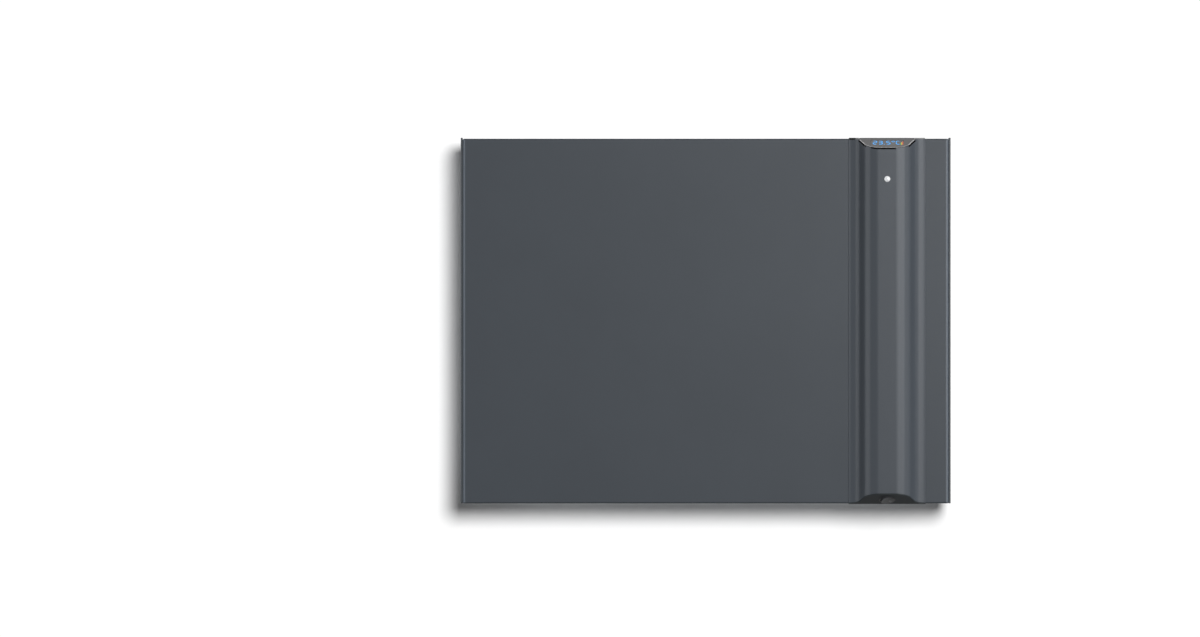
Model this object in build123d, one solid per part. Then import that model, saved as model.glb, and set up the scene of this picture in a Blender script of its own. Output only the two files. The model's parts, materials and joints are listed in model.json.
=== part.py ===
from build123d import *
from math import atan2, cos, degrees, hypot, radians, sin, tan
import os

# Wall-hung infrared panel heater with a moulded control column.
# Millimetres. +X is to the right of someone facing the heater, the front faces -Y, +Z is up.
# The origin is on the wall plane, at the centre of the four wall screws.

# ---------------------------------------------------------------- driving sizes
heater_width = 495.0
heater_height = 370.0
wall_gap = 24.0
body_depth = 38.0
running_gap = 0.3
seat_gap = 0.15
shaft_gap = 0.05
over = 1.0  # how far a cutter passes the faces it cuts
fillet_share = 0.95  # the most that a rounded corner takes of a straight run

# front plate, a folded steel tray
plate_sheet = 1.2
plate_drop = 0.9
plate_lift = 0.6
flange_setback = 7.0
plate_side_radius = 3.2
plate_edge_radius = 1.6

# moulded strips on the two sides
trim_thickness = 1.8
trim_setback = 0.5
trim_lip = 1.1
trim_lip_thickness = 1.5
trim_rear_radius = 5.0
trim_front_radius = 1.0

# rear cover, a shallow steel tray inside the front plate's flanges
rear_sheet = 0.8
rear_flange = 12.0
rear_radius = 2.0
bead_width = 12.0
bead_rise = 1.6
bead_side_margin = 62.5
bead_end_margin = 26.0
bead_middle_gap = 18.0
level_bead_length = 150.0
level_bead_margin = 25.0
louvre_length = 40.0
louvre_radius = 3.4
louvre_pitch = 11.0
louvre_rows = 7
louvre_top_margin = 64.0
louvre_bottom_margin = 125.0

# threaded spacers between the front plate and the rear cover
post_radius = 4.0
post_bore_radius = 2.0
post_bore_depth = 12.0
post_side_gap = 2.5
post_board_gap = 2.0
post_end_margin = 20.0
post_middle_margin = 65.0
rear_screw_length = 9.0
rear_screw_room = 0.1

# heating layer
film_column_gap = 10.3
film_end_margin = 8.0
film_thickness = 0.5
track_thickness = 0.4
track_width = 7.0
track_rows = 24
track_end_margin = 16.0
track_side_margin = 11.5
track_notch_gap = 3.5
foil_thickness = 0.3
board_thickness = 20.0
terminal_notch = 16.0
lug_foot = 10.0
lug_width = 9.0
lug_tab_width = 6.4
lug_sheet = 0.8
lug_height = 24.0

# hat rails that hold the insulation board
hat_crown = 26.0
hat_foot = 9.0
hat_sheet = 1.0
hat_bend_radius = 2.0
hat_side_margin = 13.0
hat_end_margin = 24.0

# control column, outwards from its middle: a flat face, a gentle slope, a ridge, a steep flank,
# a shelf, a skirt and a thin lip on the plate
column_margin = 64.3
column_rise = 20.0
column_wall = 2.2
face_half_width = 10.3
face_radius = 14.0
slope_width = 7.1
slope_drop = 2.0
slope_radius = 10.0
ridge_width = 5.4
ridge_drop = 3.4
ridge_radius = 8.0
flank_width = 5.0
flank_radius = 8.0
shelf_width = 3.8
shelf_height = 5.0
shelf_drop = 3.0
shelf_radius = 8.0
skirt_width = 5.3
skirt_radius = 10.0
lip_width = 2.0
lip_height = 0.9
lip_radius = 0.5
boss_radius = 4.0
boss_bore_radius = 1.5
boss_bore_depth = 12.0
boss_x = 15.0
boss_bottom_margin = 35.0
boss_cutout_gap = 12.0
boss_top_margin = 25.0
column_screw_length = 10.0
column_screw_room = 0.4

# slanted ends of the column
top_facet_drop = 9.8
bottom_facet_rise = 9.9
cap_thickness = 1.2
cap_side_margin = 0.9
cap_skirt_depth = 6.0
cap_skirt_wall = 1.5
cap_skirt_inset = 3.0
cap_edge_chamfer = 0.5
deck_edge = 1.5
deck_side_inset = 0.5
deck_corner_radius = 4.0
bottom_cap_rim = 0.8
bottom_cap_thickness = 2.0

# vents between the cap and the column, and the notch in the cap's left end
vent_gap = 1.3
vent_flank_start = 21.5
vent_face_left = 16.4
vent_face_right = 8.8
notch_start = 32.5
notch_skin = 0.4

# display
window_width = 33.0
window_height = 11.3
window_thickness = 1.2
window_fit = 0.25
window_radius = 1.0
window_ledge = 1.0
display_module_depth = 5.0
display_board = 1.0
display_frame_margin = 1.0
display_frame_depth = 6.0

# keys on the deck
key_pitch = 14.0
key_width = 10.0
key_length = 8.0
key_radius = 1.5
key_crown_radius = 0.5
key_travel = 1.0
key_recess = 0.3
key_skirt = 1.0
key_skirt_height = 1.0
key_stem_radius = 1.8
well_depth = 13.0
well_wall = 1.5
well_top = 2.6
well_width = 46.0
well_length = 16.0
well_y = 14.0
key_board_thickness = 1.6
key_switch_size = 6.0
key_switch_height = 3.0
key_switch_radius = 0.5
key_plunger_radius = 1.7
key_plunger_height = 1.3

# indicator
indicator_drop = 41.7
indicator_radius = 2.9
indicator_rise = 0.9
indicator_flange_radius = 4.2
indicator_flange = 1.2
led_radius = 2.0
led_rim = 0.5
led_rim_height = 1.0
led_gap = 0.5

# round rocker switch, along the bottom facet's normal
rocker_bezel_radius = 8.2
rocker_bezel_rise = 0.6
rocker_bezel_edge = 0.4
rocker_bezel_radius_inner = 6.9
rocker_barrel_radius = 7.5
rocker_barrel_depth = 13.0
rocker_radius = 6.35
rocker_pivot_depth = 0.6
rocker_top = 2.7
rocker_bottom = 2.2
rocker_dish_radius = 17.0
rocker_dish_depth = 1.1
rocker_pin_radius = 1.1
rocker_pin_gap = 0.2
rocker_tilt = 8.0
rocker_well_depth = 5.2
rocker_slope_place = 12.3
switch_window_lift = 2.7
switch_window_height = 30.0
switch_window_margin = 2.0
tab_width = 3.2
tab_thickness = 0.8
tab_length = 6.0
tab_spacing = 7.0

# column electronics; each place is across from the column's middle and up from the carrier's foot
carrier_thickness = 2.0
carrier_half_width = 23.0
carrier_boss_gap = 6.0
carrier_top_margin = 35.0
carrier_radius = 3.0
standoff_radius = 3.0
standoff_height = 3.0
standoff_inset = 3.5
standoff_foot_margin = 8.0
standoff_head_margin = 12.0
board_half_width = 17.0
board_margin = 2.0
board_notch_half_width = 6.0
board_notch_height = 30.0
pcb_thickness = 1.6
relay_place = (-6.0, 70.0)
relay_size = (10.0, 28.0, 9.5)
relay_radius = 0.6
module_place = (2.0, 116.0)
module_size = (20.0, 32.0, 9.0)
module_radius = 1.0
capacitor_place = (8.0, 65.0)
capacitor_radius = 4.0
capacitor_length = 14.0
capacitor_edge = 0.6
fuse_place = (8.0, 84.0)
fuse_radius = 2.3
fuse_length = 18.0
fuse_cap_radius = 2.6
fuse_cap_length = 5.0
fuse_lift = 0.8
fuse_clip_size = (6.4, 3.6, 2.4)
connector_place = (-12.0, 22.0)
connector_size = (7.0, 20.0, 8.0)
connector_pitch = 6.0
connector_well = (4.5, 4.0)
connector_well_depth = 4.5

# screws with pan heads
screw_radius = 1.4
screw_head_radius = 2.6
screw_head = 1.8
screw_head_edge = 0.8
screw_drive_width = 0.6
screw_drive_length = 3.2
screw_drive_depth = 0.9
board_screw_length = 5.0
board_screw_gap = 0.15
board_screw_room = 0.2

# lead slot in the plate and the carrier
slot_width = 30.0
slot_height = 14.0
slot_radius = 4.0
slot_rise = 20.0

# thermal cutouts on the back of the plate
cutout_radius = 8.0
cutout_body = 6.0
cutout_base = 3.0
cutout_base_inset = 1.5
cutout_flange = 1.0
cutout_flange_height = 24.0
cutout_flange_radius = 3.0
cutout_tab_length = 8.0
cutout_tab_spacing = 8.0
cutout_offset = 17.2
cutout_top_margin = 77.0
cutout_block_gap = 27.0

# mains terminal block
terminal_width = 36.0
terminal_height = 20.0
terminal_depth = 15.0
terminal_radius = 1.2
terminal_pitch = 11.0
terminal_axis_depth = 6.0
terminal_tube_radius = 2.6
terminal_tube_inset = 1.0
terminal_hole_radius = 1.6
terminal_screw_step = 5.0
terminal_well_radius = 2.0
terminal_thread_radius = 1.3
terminal_fixing_radius = 1.4
terminal_screw_length = 6.0
terminal_screw_head = 2.0
terminal_screw_head_radius = 1.8
terminal_slot_depth = 0.7
terminal_offset = 6.8
terminal_margin = 80.0

# cable inlet
gland_margin = 40.0
gland_bore_radius = 4.0
gland_barrel_radius = 8.0
gland_flange_radius = 12.0
gland_flange = 2.5
gland_flange_edge = 1.0
gland_tip_radius = 6.0
gland_nose = 7.0
gland_inner = 9.0
gland_nut_height = 5.0
gland_nut_radius = 11.5

# internal leads
lead_radius = 1.1
lead_bend = 5.0
lead_entry = 3.0
tab_run = 7.0
live_run = 14.0
link_run = 20.0
link_shift = 8.0
element_run = 16.0
element_shift = 6.0
lug_lead_drop = 5.0
neutral_run = 22.0
neutral_post_gap = 4.0
board_run = 26.0
board_lead_shift = 3.0
board_lead_end_gap = 2.0
switch_lead_shift = 4.0
switch_lead_out = 6.0
switch_lead_rise = 13.0
switch_lead_bend = 40.0
switch_lead_depth = 8.0
switch_lead_run = 24.0

# wall bracket
arm_side_margin = 137.5
arm_width = 30.0
arm_bottom_margin = 55.0
arm_top_margin = 27.0
arm_rear_gap = 6.5
bracket_sheet = 1.5
rail_height = 36.0
rail_overhang = 18.0
rail_radius = 6.0
wall_hole_margin = 85.0
wall_hole_radius = 2.75
rivet_radius = 2.0
rivet_head_radius = 3.6
rivet_head = 1.4
rivet_edge = 0.8
rivet_offset = 11.0
hook_bottom_margin = 20.0
hook_top_margin = 86.0
hook_height = 10.0
hook_finger = 8.0
hook_finger_thickness = 3.5
hook_finger_gap = 1.3
hook_finger_radius = 1.2
hook_slot_width = 4.5
hook_slot_height = 26.0

# turning latches at the top of the arms
latch_drop = 12.0
latch_bridge = 28.0
latch_thickness = 2.5
latch_boss_radius = 8.0
latch_reach = 20.0
latch_width = 8.0
latch_thumb = 26.0
latch_thumb_width = 11.0
latch_pivot_radius = 2.5
latch_bearing_gap = 0.05
latch_keeper_gap = 0.4
pivot_head_radius = 4.5
pivot_head = 0.6
pivot_tail_radius = 4.0
pivot_tail = 1.2
keeper_sheet = 1.5
keeper_half_width = 8.0
keeper_drop = 18.0
keeper_reach = 9.0
keeper_rivet_drop = 11.0
keeper_rivet_step = 4.5
keeper_rivet_head_radius = 3.2
keeper_rivet_head = 1.0

# wall buffers
buffer_side_margin = 32.5
buffer_bottom_margin = 25.0
buffer_radius = 8.0
buffer_edge_radius = 2.0
buffer_stem_radius = 4.0
buffer_lip_radius = 5.5
buffer_lip = 2.0

# ---------------------------------------------------------------- planes and places worked out from them
top_z = heater_height / 2
bottom_z = -heater_height / 2
rear_y = -wall_gap
plate_y = rear_y - body_depth
plate_back_y = plate_y + plate_sheet
flange_end_y = rear_y - flange_setback
plate_top = top_z - plate_drop
plate_bottom = bottom_z + plate_lift
plate_width = heater_width - 2 * trim_thickness
rear_inner_y = rear_y - rear_sheet
rear_width = plate_width - 2 * plate_sheet - 2 * running_gap
rear_top = plate_top - plate_sheet - running_gap
rear_bottom = plate_bottom + plate_sheet + running_gap

column_x = heater_width / 2 - column_margin
column_y = plate_y - column_rise
column_inner_y = column_y + column_wall
ridge_x = face_half_width + slope_width
flank_x = ridge_x + ridge_width
shelf_x = flank_x + flank_width
skirt_x = shelf_x + shelf_width
lip_x = skirt_x + skirt_width
column_half_width = lip_x + lip_width
cap_half_width = shelf_x + cap_side_margin
deck_half_width = column_half_width - deck_side_inset
column_outline = [
    (column_half_width, 0.0, 0.0),
    (column_half_width, lip_height, lip_radius),
    (lip_x, lip_height, skirt_radius),
    (skirt_x, shelf_height - shelf_drop, shelf_radius),
    (shelf_x, shelf_height, flank_radius),
    (flank_x, column_rise - slope_drop - ridge_drop, ridge_radius),
    (ridge_x, column_rise - slope_drop, slope_radius),
    (face_half_width, column_rise, face_radius),
]

post_edge_x = plate_width / 2 - plate_sheet - post_side_gap - post_radius
post_outer_z = heater_height / 2 - post_end_margin
post_middle_z = heater_height / 2 - post_middle_margin
film_left = -post_edge_x + post_radius + post_board_gap
film_right = column_x - column_half_width - film_column_gap
film_half_height = heater_height / 2 - film_end_margin
post_middle_x = film_right + post_board_gap + post_radius
post_places = [(x, z) for x in (-post_edge_x, post_edge_x) for z in (-post_outer_z, 0.0, post_outer_z)]
post_places += [(post_middle_x, z) for z in (-post_middle_z, post_middle_z)]
track_half_height = film_half_height - track_end_margin
track_y = plate_back_y + film_thickness
cover_film_y = track_y + track_thickness
foil_y = cover_film_y + film_thickness
board_y = foil_y + foil_thickness
board_back_y = board_y + board_thickness
hat_z = film_half_height - hat_end_margin

terminal_x = column_x + terminal_offset
terminal_z = bottom_z + terminal_margin
terminal_axis_y = rear_inner_y - terminal_axis_depth
gland_z = bottom_z + gland_margin
cutout_x = column_x - cutout_offset
cutout_upper_z = top_z - cutout_top_margin
cutout_lower_z = terminal_z + cutout_block_gap
boss_middle_z = cutout_lower_z + cutout_flange_height / 2 + boss_cutout_gap + boss_radius
boss_rows = (bottom_z + boss_bottom_margin, boss_middle_z, top_z - boss_top_margin)
carrier_high = top_z - carrier_top_margin
carrier_low = boss_middle_z + boss_radius + carrier_boss_gap
pcb_front_y = plate_y - carrier_thickness - standoff_height - pcb_thickness
slot_z = carrier_low + slot_rise
indicator_z = top_z - indicator_drop
lug_lead_y = cover_film_y + lug_height - lug_lead_drop

arm_x = heater_width / 2 - arm_side_margin
arm_low = bottom_z + arm_bottom_margin
arm_high = top_z - arm_top_margin
arm_front_y = rear_y + arm_rear_gap
wall_hole_z = heater_height / 2 - wall_hole_margin
hook_rows = (arm_low + hook_bottom_margin, arm_high - hook_top_margin)
latch_z = arm_high - latch_drop
latch_back_y = arm_front_y - bracket_sheet - running_gap
keeper_top = latch_z - latch_reach - latch_keeper_gap
buffer_x = heater_width / 2 - buffer_side_margin
buffer_z = bottom_z + buffer_bottom_margin

top_facet_angle = degrees(atan2(top_facet_drop, column_rise))
bottom_facet_angle = degrees(atan2(bottom_facet_rise, column_rise))
top_facet_length = hypot(top_facet_drop, column_rise)

# Each facet's plane has its origin on the facet at the column's front, X to the right, Y up or
# down the slope towards the wall, and Z outwards.
top_facet = Plane(
    origin=(column_x, column_y, top_z - top_facet_drop),
    x_dir=(1, 0, 0),
    z_dir=(0, -sin(radians(top_facet_angle)), cos(radians(top_facet_angle))),
)
bottom_facet = Plane(
    origin=(column_x, column_y, bottom_z + bottom_facet_rise),
    x_dir=(1, 0, 0),
    z_dir=(0, -sin(radians(bottom_facet_angle)), -cos(radians(bottom_facet_angle))),
)


# ---------------------------------------------------------------- shared shapes
def block(x_low, x_high, y_low, y_high, z_low, z_high):
    """A box between two corners."""
    centre = ((x_low + x_high) / 2, (y_low + y_high) / 2, (z_low + z_high) / 2)
    return Pos(*centre) * Box(x_high - x_low, y_high - y_low, z_high - z_low)


def rod_y(x, z, radius, y_low, y_high):
    """A round bar along Y."""
    return Pos(x, (y_low + y_high) / 2, z) * Rot(90, 0, 0) * Cylinder(radius, y_high - y_low)


def hole_y(x, z, radius, y_low, y_high):
    """The cutter for a round hole along Y through a wall between two faces."""
    return rod_y(x, z, radius, y_low - over, y_high + over)


def rod_z(x, y, radius, z_low, z_high):
    """A round bar or hole along Z."""
    return Pos(x, y, (z_low + z_high) / 2) * Cylinder(radius, z_high - z_low)


def rounded_slab_y(x, z, width, height, radius, y_low, y_high):
    """A flat plate across Y with rounded corners."""
    outline = Plane.XZ * Pos(x, z) * RectangleRounded(width, height, radius)
    return Pos(0, y_low, 0) * extrude(outline, amount=y_high - y_low, dir=(0, 1, 0))


def lead_slot(y_low, y_high):
    """The cutter for the slot that the leads pass through behind the column."""
    return rounded_slab_y(column_x, slot_z, slot_width, slot_height, slot_radius, y_low - over, y_high + over)


def folded_block(width, low, high, front, back, side_radius, edge_radius):
    """A block whose front edges are rounded as bent sheet is."""
    solid = block(-width / 2, width / 2, front, back, low, high)
    sides = solid.edges().filter_by(Axis.Z).group_by(Axis.Y)[0]
    solid = fillet(sides, side_radius)
    ends = solid.edges().filter_by(Axis.X).group_by(Axis.Y)[0]
    return fillet(ends, edge_radius)


def fitted_corners(corners):
    """The corners of an open outline, with each radius limited by the straight runs beside it."""
    fitted = [corners[0]]
    taken = 0.0
    for before, corner, after in zip(corners, corners[1:], corners[2:] + [(0.0, corners[-1][1], 0.0)]):
        run_in = (corner[0] - before[0], corner[1] - before[1])
        run_out = (after[0] - corner[0], after[1] - corner[1])
        cross = run_in[0] * run_out[1] - run_in[1] * run_out[0]
        dot = run_in[0] * run_out[0] + run_in[1] * run_out[1]
        reach = tan(atan2(abs(cross), dot) / 2)
        room = fillet_share * min(hypot(*run_in) - taken, hypot(*run_out))
        radius = min(corner[2], room / reach)
        taken = radius * reach
        fitted.append((corner[0], corner[1], radius))
    return fitted


def inset_outline(inset):
    """The column's half outline moved inwards, ending on the plate."""
    if inset <= 0:
        return fitted_corners(column_outline)
    points = column_outline + [(0.0, column_rise, 0.0)]
    lines = []
    for start, end in zip(points[1:-1], points[2:]):
        run = (end[0] - start[0], end[1] - start[1])
        length = hypot(*run)
        lines.append((start[0] - run[1] / length * inset, start[1] + run[0] / length * inset, run))
    moved = []
    for (x, y, run), (next_x, next_y, turn), corner in zip(lines, lines[1:], points[2:]):
        cross = run[0] * turn[1] - run[1] * turn[0]
        share = ((next_x - x) * turn[1] - (next_y - y) * turn[0]) / cross
        radius = corner[2] + inset if cross < 0 else max(corner[2] - inset, 0.0)
        corner_y = y + run[1] * share
        if corner_y <= 0:
            continue
        corner_x = x + run[0] * share
        if not moved:
            moved.append((corner_x - run[0] / run[1] * corner_y, 0.0, 0.0))
        moved.append((corner_x, corner_y, radius))
    return fitted_corners(moved)


def column_section(inset=0.0, half_width=None):
    """The column's section in a flat face, with X across and Y the height over the plate."""
    half = inset_outline(inset)
    left = [(-x, y, radius) for x, y, radius in half]
    corners = half + left[::-1]
    line = FilletPolyline(
        *[(x, y) for x, y, radius in corners],
        radius=[radius for x, y, radius in corners],
        close=True,
    )
    face = make_face(line)
    if half_width:
        face = face & Pos(0, column_rise / 2) * Rectangle(2 * half_width, 3 * column_rise)
    return face


def column_bar(inset, low, high, half_width=None):
    """The column's section drawn out along Z."""
    flat = extrude(column_section(inset, half_width), amount=high - low)
    return Pos(column_x, plate_y, low) * mirror(flat, about=Plane.XZ)


def facet_slab(plane, outer, inner, left=None, right=None):
    """A layer parallel to a facet between two depths under it, from left to right of the column's middle."""
    left = -column_half_width - over if left is None else left
    right = column_half_width + over if right is None else right
    layer = Box(right - left, 6 * column_rise, inner - outer)
    return plane * Pos((left + right) / 2, 0, -(outer + inner) / 2) * layer


def rivet_y(x, z, radius, head_radius, head, y_low, y_high):
    """A rivet along Y with a low bevelled head on its front."""
    shank = rod_y(x, z, radius, y_low, y_high)
    dome = rod_y(x, z, head_radius, y_low - head, y_low)
    return shank + chamfer(dome.edges().group_by(Axis.Y)[0], rivet_edge)


def pan_screw_y(x, z, radius, length, head_y, towards):
    """A pan-head screw along Y: its head's seat is at head_y and its shank goes towards +Y or -Y."""
    tip_y = head_y + towards * length
    top_y = head_y - towards * screw_head
    shank = rod_y(x, z, radius, min(head_y, tip_y), max(head_y, tip_y))
    head = rod_y(x, z, screw_head_radius, min(head_y, top_y), max(head_y, top_y))
    rim = head.edges().filter_by(GeomType.CIRCLE).group_by(Axis.Y)[0 if towards > 0 else -1]
    head = chamfer(rim, screw_head_edge)
    slot = Box(screw_drive_width, 2 * screw_drive_depth, screw_drive_length)
    cross = Pos(x, top_y, z) * (slot + Rot(0, 90, 0) * slot)
    return shank + head - cross


def lead(*points):
    """An insulated lead along straight runs joined by arcs."""
    path = FilletPolyline(*points, radius=lead_bend)
    section = Plane(origin=path @ 0, z_dir=path % 0) * Circle(lead_radius)
    return sweep(section, path=path)


# ---------------------------------------------------------------- casing
def front_panel():
    outer = folded_block(
        plate_width, plate_bottom, plate_top, plate_y, flange_end_y, plate_side_radius, plate_edge_radius
    )
    inner = folded_block(
        plate_width - 2 * plate_sheet,
        plate_bottom + plate_sheet,
        plate_top - plate_sheet,
        plate_back_y,
        flange_end_y + over,
        plate_side_radius - plate_sheet,
        plate_edge_radius - plate_sheet,
    )
    room = boss_bore_radius + column_screw_room
    cuts = [hole_y(x, z, room, plate_y, plate_back_y) for x, z in boss_places()]
    cuts += [lead_slot(plate_y, plate_back_y), switch_window()]
    cuts += [well_block(running_gap, top_z - well_depth - over, top_z + over)]
    return outer - inner - cuts


def switch_window():
    """The opening behind the column through which the rocker switch reaches into the casing."""
    half = rocker_barrel_radius + switch_window_margin
    low = bottom_z + switch_window_lift
    high = low + switch_window_height
    return block(column_x - half, column_x + half, plate_y - over, plate_back_y + over, low, high)


def side_trim(side):
    """One edge strip: a flat blade with rounded rear corners and a lip behind the plate's flange."""
    front = plate_y + trim_setback
    back = flange_end_y + trim_lip_thickness
    blade = block(0, trim_thickness, front, back, plate_bottom, top_z)
    blade = fillet(blade.edges().filter_by(Axis.X).group_by(Axis.Y)[-1], trim_rear_radius)
    blade = fillet(blade.edges().filter_by(Axis.X).group_by(Axis.Y)[0], trim_front_radius)
    lip_low = plate_bottom + trim_rear_radius
    lip_high = plate_top - trim_rear_radius
    lip = block(-trim_lip, trim_thickness / 2, flange_end_y, back, lip_low, lip_high)
    strip = Pos(plate_width / 2, 0, 0) * (blade + lip)
    if side < 0:
        strip = mirror(strip, about=Plane.YZ)
    return strip


def louvre(x, z):
    """The raised hood of one louvre: a quarter round, open underneath."""
    inside = louvre_radius - rear_sheet
    hood = Cylinder(louvre_radius, louvre_length) - Cylinder(inside, louvre_length - 2 * rear_sheet)
    keep = Pos(louvre_radius, louvre_radius) * Box(2 * louvre_radius, 2 * louvre_radius, louvre_length)
    quarter = mirror(hood & keep, about=Plane.YZ)
    return Pos(x, rear_y, z) * Rot(0, 90, 0) * quarter


def louvre_opening(x, z):
    """The slit in the sheet under a louvre's hood."""
    half = louvre_length / 2 - 2 * rear_sheet
    low = z + rear_sheet / 2
    return block(x - half, x + half, rear_inner_y - over, rear_y, low, low + louvre_radius - 2 * rear_sheet)


def louvre_places():
    """The slits' places, in an upper and a lower field behind the column and behind the plate's middle."""
    field = louvre_pitch * (louvre_rows - 1)
    starts = [top_z - louvre_top_margin - field, bottom_z + louvre_bottom_margin]
    rows = [start + louvre_pitch * row for start in starts for row in range(louvre_rows)]
    return [(x, z) for x in (column_x, 0.0) for z in rows]


def rear_bead(x, z, length, upright):
    """A pressed stiffening bead, standing out of the sheet's outer side, and the hollow behind it."""
    place = Plane.XZ * Pos(x, z) * Rot(0, 0, 90 if upright else 0)
    inside = length - 2 * rear_sheet, bead_width - 2 * rear_sheet
    ridge = extrude(place * SlotOverall(length, bead_width), amount=bead_rise, dir=(0, 1, 0))
    hollow = extrude(place * SlotOverall(*inside), amount=bead_rise, dir=(0, 1, 0))
    return Pos(0, rear_y, 0) * ridge, Pos(0, rear_inner_y, 0) * hollow


def rear_beads():
    upright_length = heater_height / 2 - bead_end_margin - bead_middle_gap / 2
    upright_z = (bead_middle_gap + upright_length) / 2
    level_z = heater_height / 2 - level_bead_margin
    bead_x = heater_width / 2 - bead_side_margin
    beads = [rear_bead(-bead_x, z, upright_length, True) for z in (-upright_z, upright_z)]
    return beads + [rear_bead(0.0, z, level_bead_length, False) for z in (-level_z, level_z)]


def rear_cover():
    outer = block(-rear_width / 2, rear_width / 2, rear_y - rear_flange, rear_y, rear_bottom, rear_top)
    outer = fillet(outer.edges().group_by(Axis.Y)[-1], rear_radius)
    inner = block(
        -rear_width / 2 + rear_sheet,
        rear_width / 2 - rear_sheet,
        rear_y - rear_flange - over,
        rear_inner_y,
        rear_bottom + rear_sheet,
        rear_top - rear_sheet,
    )
    inner = fillet(inner.edges().group_by(Axis.Y)[-1], rear_radius - rear_sheet)
    beads = rear_beads()
    tray = outer - inner + [ridge for ridge, hollow in beads] - [hollow for ridge, hollow in beads]
    tray = tray + [louvre(x, z) for x, z in louvre_places()]
    cuts = [louvre_opening(x, z) for x, z in louvre_places()]
    cuts += [hook_slot(x, z) for x in hook_xs() for z in hook_rows]
    holes = [(x, z, post_bore_radius + rear_screw_room) for x, z in post_places]
    holes += [(column_x, gland_z, gland_barrel_radius + running_gap)]
    holes += [(x, buffer_z, buffer_stem_radius + seat_gap) for x in (-buffer_x, buffer_x)]
    holes += [(x, z, rivet_radius + shaft_gap) for x, z in keeper_rivet_places()]
    cuts += [hole_y(x, z, radius, rear_inner_y, rear_y) for x, z, radius in holes]
    return tray - cuts


def panel_posts():
    """Threaded spacers welded to the back of the front plate."""
    posts = []
    for x, z in post_places:
        post = rod_y(x, z, post_radius, plate_back_y, rear_inner_y)
        post -= rod_y(x, z, post_bore_radius, rear_inner_y - post_bore_depth, rear_inner_y + over)
        posts.append(post)
    return Compound(posts)


def rear_screws():
    """Screws that hold the rear cover to the posts."""
    size = post_bore_radius - shaft_gap, rear_screw_length
    return Compound([pan_screw_y(x, z, *size, rear_y, -1) for x, z in post_places])


# ---------------------------------------------------------------- heating layer
def terminal_places():
    return [(film_right - terminal_notch / 2, z) for z in (-track_half_height, track_half_height)]


def layer(front, thickness, notched=True):
    """One flat layer of the heating stack, cut away round the two terminals."""
    back = front + thickness
    sheet = block(film_left, film_right, front, back, -film_half_height, film_half_height)
    if not notched:
        return sheet
    half = terminal_notch / 2
    for x, z in terminal_places():
        sheet -= block(x - half, x + half + over, front - over, back + over, z - half, z + half)
    return sheet


def heater_film():
    return layer(plate_back_y, film_thickness, notched=False)


def heater_cover_film():
    return layer(cover_film_y, film_thickness)


def reflector_foil():
    return layer(foil_y, foil_thickness)


def insulation_board():
    return layer(board_y, board_thickness)


def heater_track():
    """The resistance strip: level runs joined by half-round turns, with a pad at each end."""
    pitch = 2 * track_half_height / (track_rows - 1)
    outer = pitch / 2 + track_width / 2
    inner = pitch / 2 - track_width / 2
    left = film_left + track_side_margin + outer
    right = film_right - terminal_notch - track_notch_gap - outer
    strip = []
    for row in range(track_rows):
        height = track_half_height - row * pitch
        strip.append(Pos((left + right) / 2, height) * Rectangle(right - left, track_width))
        if row == track_rows - 1:
            continue
        side = -1 if row % 2 == 0 else 1
        turn = Circle(outer) - Circle(inner)
        turn &= Pos(side * outer, 0) * Rectangle(2 * outer, 4 * outer)
        strip.append(Pos(left if side < 0 else right, height - pitch / 2) * turn)
    for x, z in terminal_places():
        pad_end = x + lug_foot / 2
        strip.append(Pos((right + pad_end) / 2, z) * Rectangle(pad_end - right, track_width))
    face = Sketch() + strip
    return Pos(0, track_y, 0) * extrude(Plane.XZ * face, amount=track_thickness, dir=(0, 1, 0))


def film_terminals():
    """Brass angle lugs riveted on the track's two pads, each with a tab for its lead."""
    lugs = []
    for x, z in terminal_places():
        left, right = x - lug_foot / 2, x + lug_foot / 2
        foot_half, tab_half = lug_width / 2, lug_tab_width / 2
        sheet_y, tip_y = cover_film_y + lug_sheet, cover_film_y + lug_height
        foot = block(left, right, cover_film_y, sheet_y, z - foot_half, z + foot_half)
        tab = block(right - lug_sheet, right, cover_film_y, tip_y, z - tab_half, z + tab_half)
        lugs.append(foot + tab)
    return Compound(lugs)


def hat_rail(z):
    """A hat-section strip on the rear cover that presses the insulation board."""
    low, high = z - hat_crown / 2, z + hat_crown / 2
    left, right = film_left + hat_side_margin, film_right - hat_side_margin
    crown = block(left, right, board_back_y, rear_inner_y, low, high)
    crown = fillet(crown.edges().filter_by(Axis.X).group_by(Axis.Y)[0], hat_bend_radius)
    feet = block(left, right, rear_inner_y - hat_sheet, rear_inner_y, low - hat_foot, high + hat_foot)
    front, back = board_back_y + hat_sheet, rear_inner_y + over
    return crown + feet - block(left - over, right + over, front, back, low + hat_sheet, high - hat_sheet)


def thermal_cutout(z):
    """A bimetal disc thermostat with a flat flange and two tabs."""
    body_y = plate_back_y + cutout_body
    base_y = body_y + cutout_base
    flange = rounded_slab_y(
        cutout_x, z, 2 * cutout_radius, cutout_flange_height, cutout_flange_radius,
        plate_back_y, plate_back_y + cutout_flange,
    )
    body = rod_y(cutout_x, z, cutout_radius, plate_back_y, body_y)
    base = rod_y(cutout_x, z, cutout_radius - cutout_base_inset, plate_back_y, base_y)
    tabs = [
        Pos(cutout_x + side * cutout_tab_spacing / 2, base_y + cutout_tab_length / 2, z)
        * Box(tab_width, cutout_tab_length, tab_thickness)
        for side in (-1, 1)
    ]
    return flange + body + base + tabs


# ---------------------------------------------------------------- mains terminals and inlet
def terminal_poles():
    return [terminal_x + terminal_pitch * step for step in (-1, 0, 1)]


def terminal_screw_places():
    return [(x, terminal_z + side * terminal_screw_step) for x in terminal_poles() for side in (-1, 1)]


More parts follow.
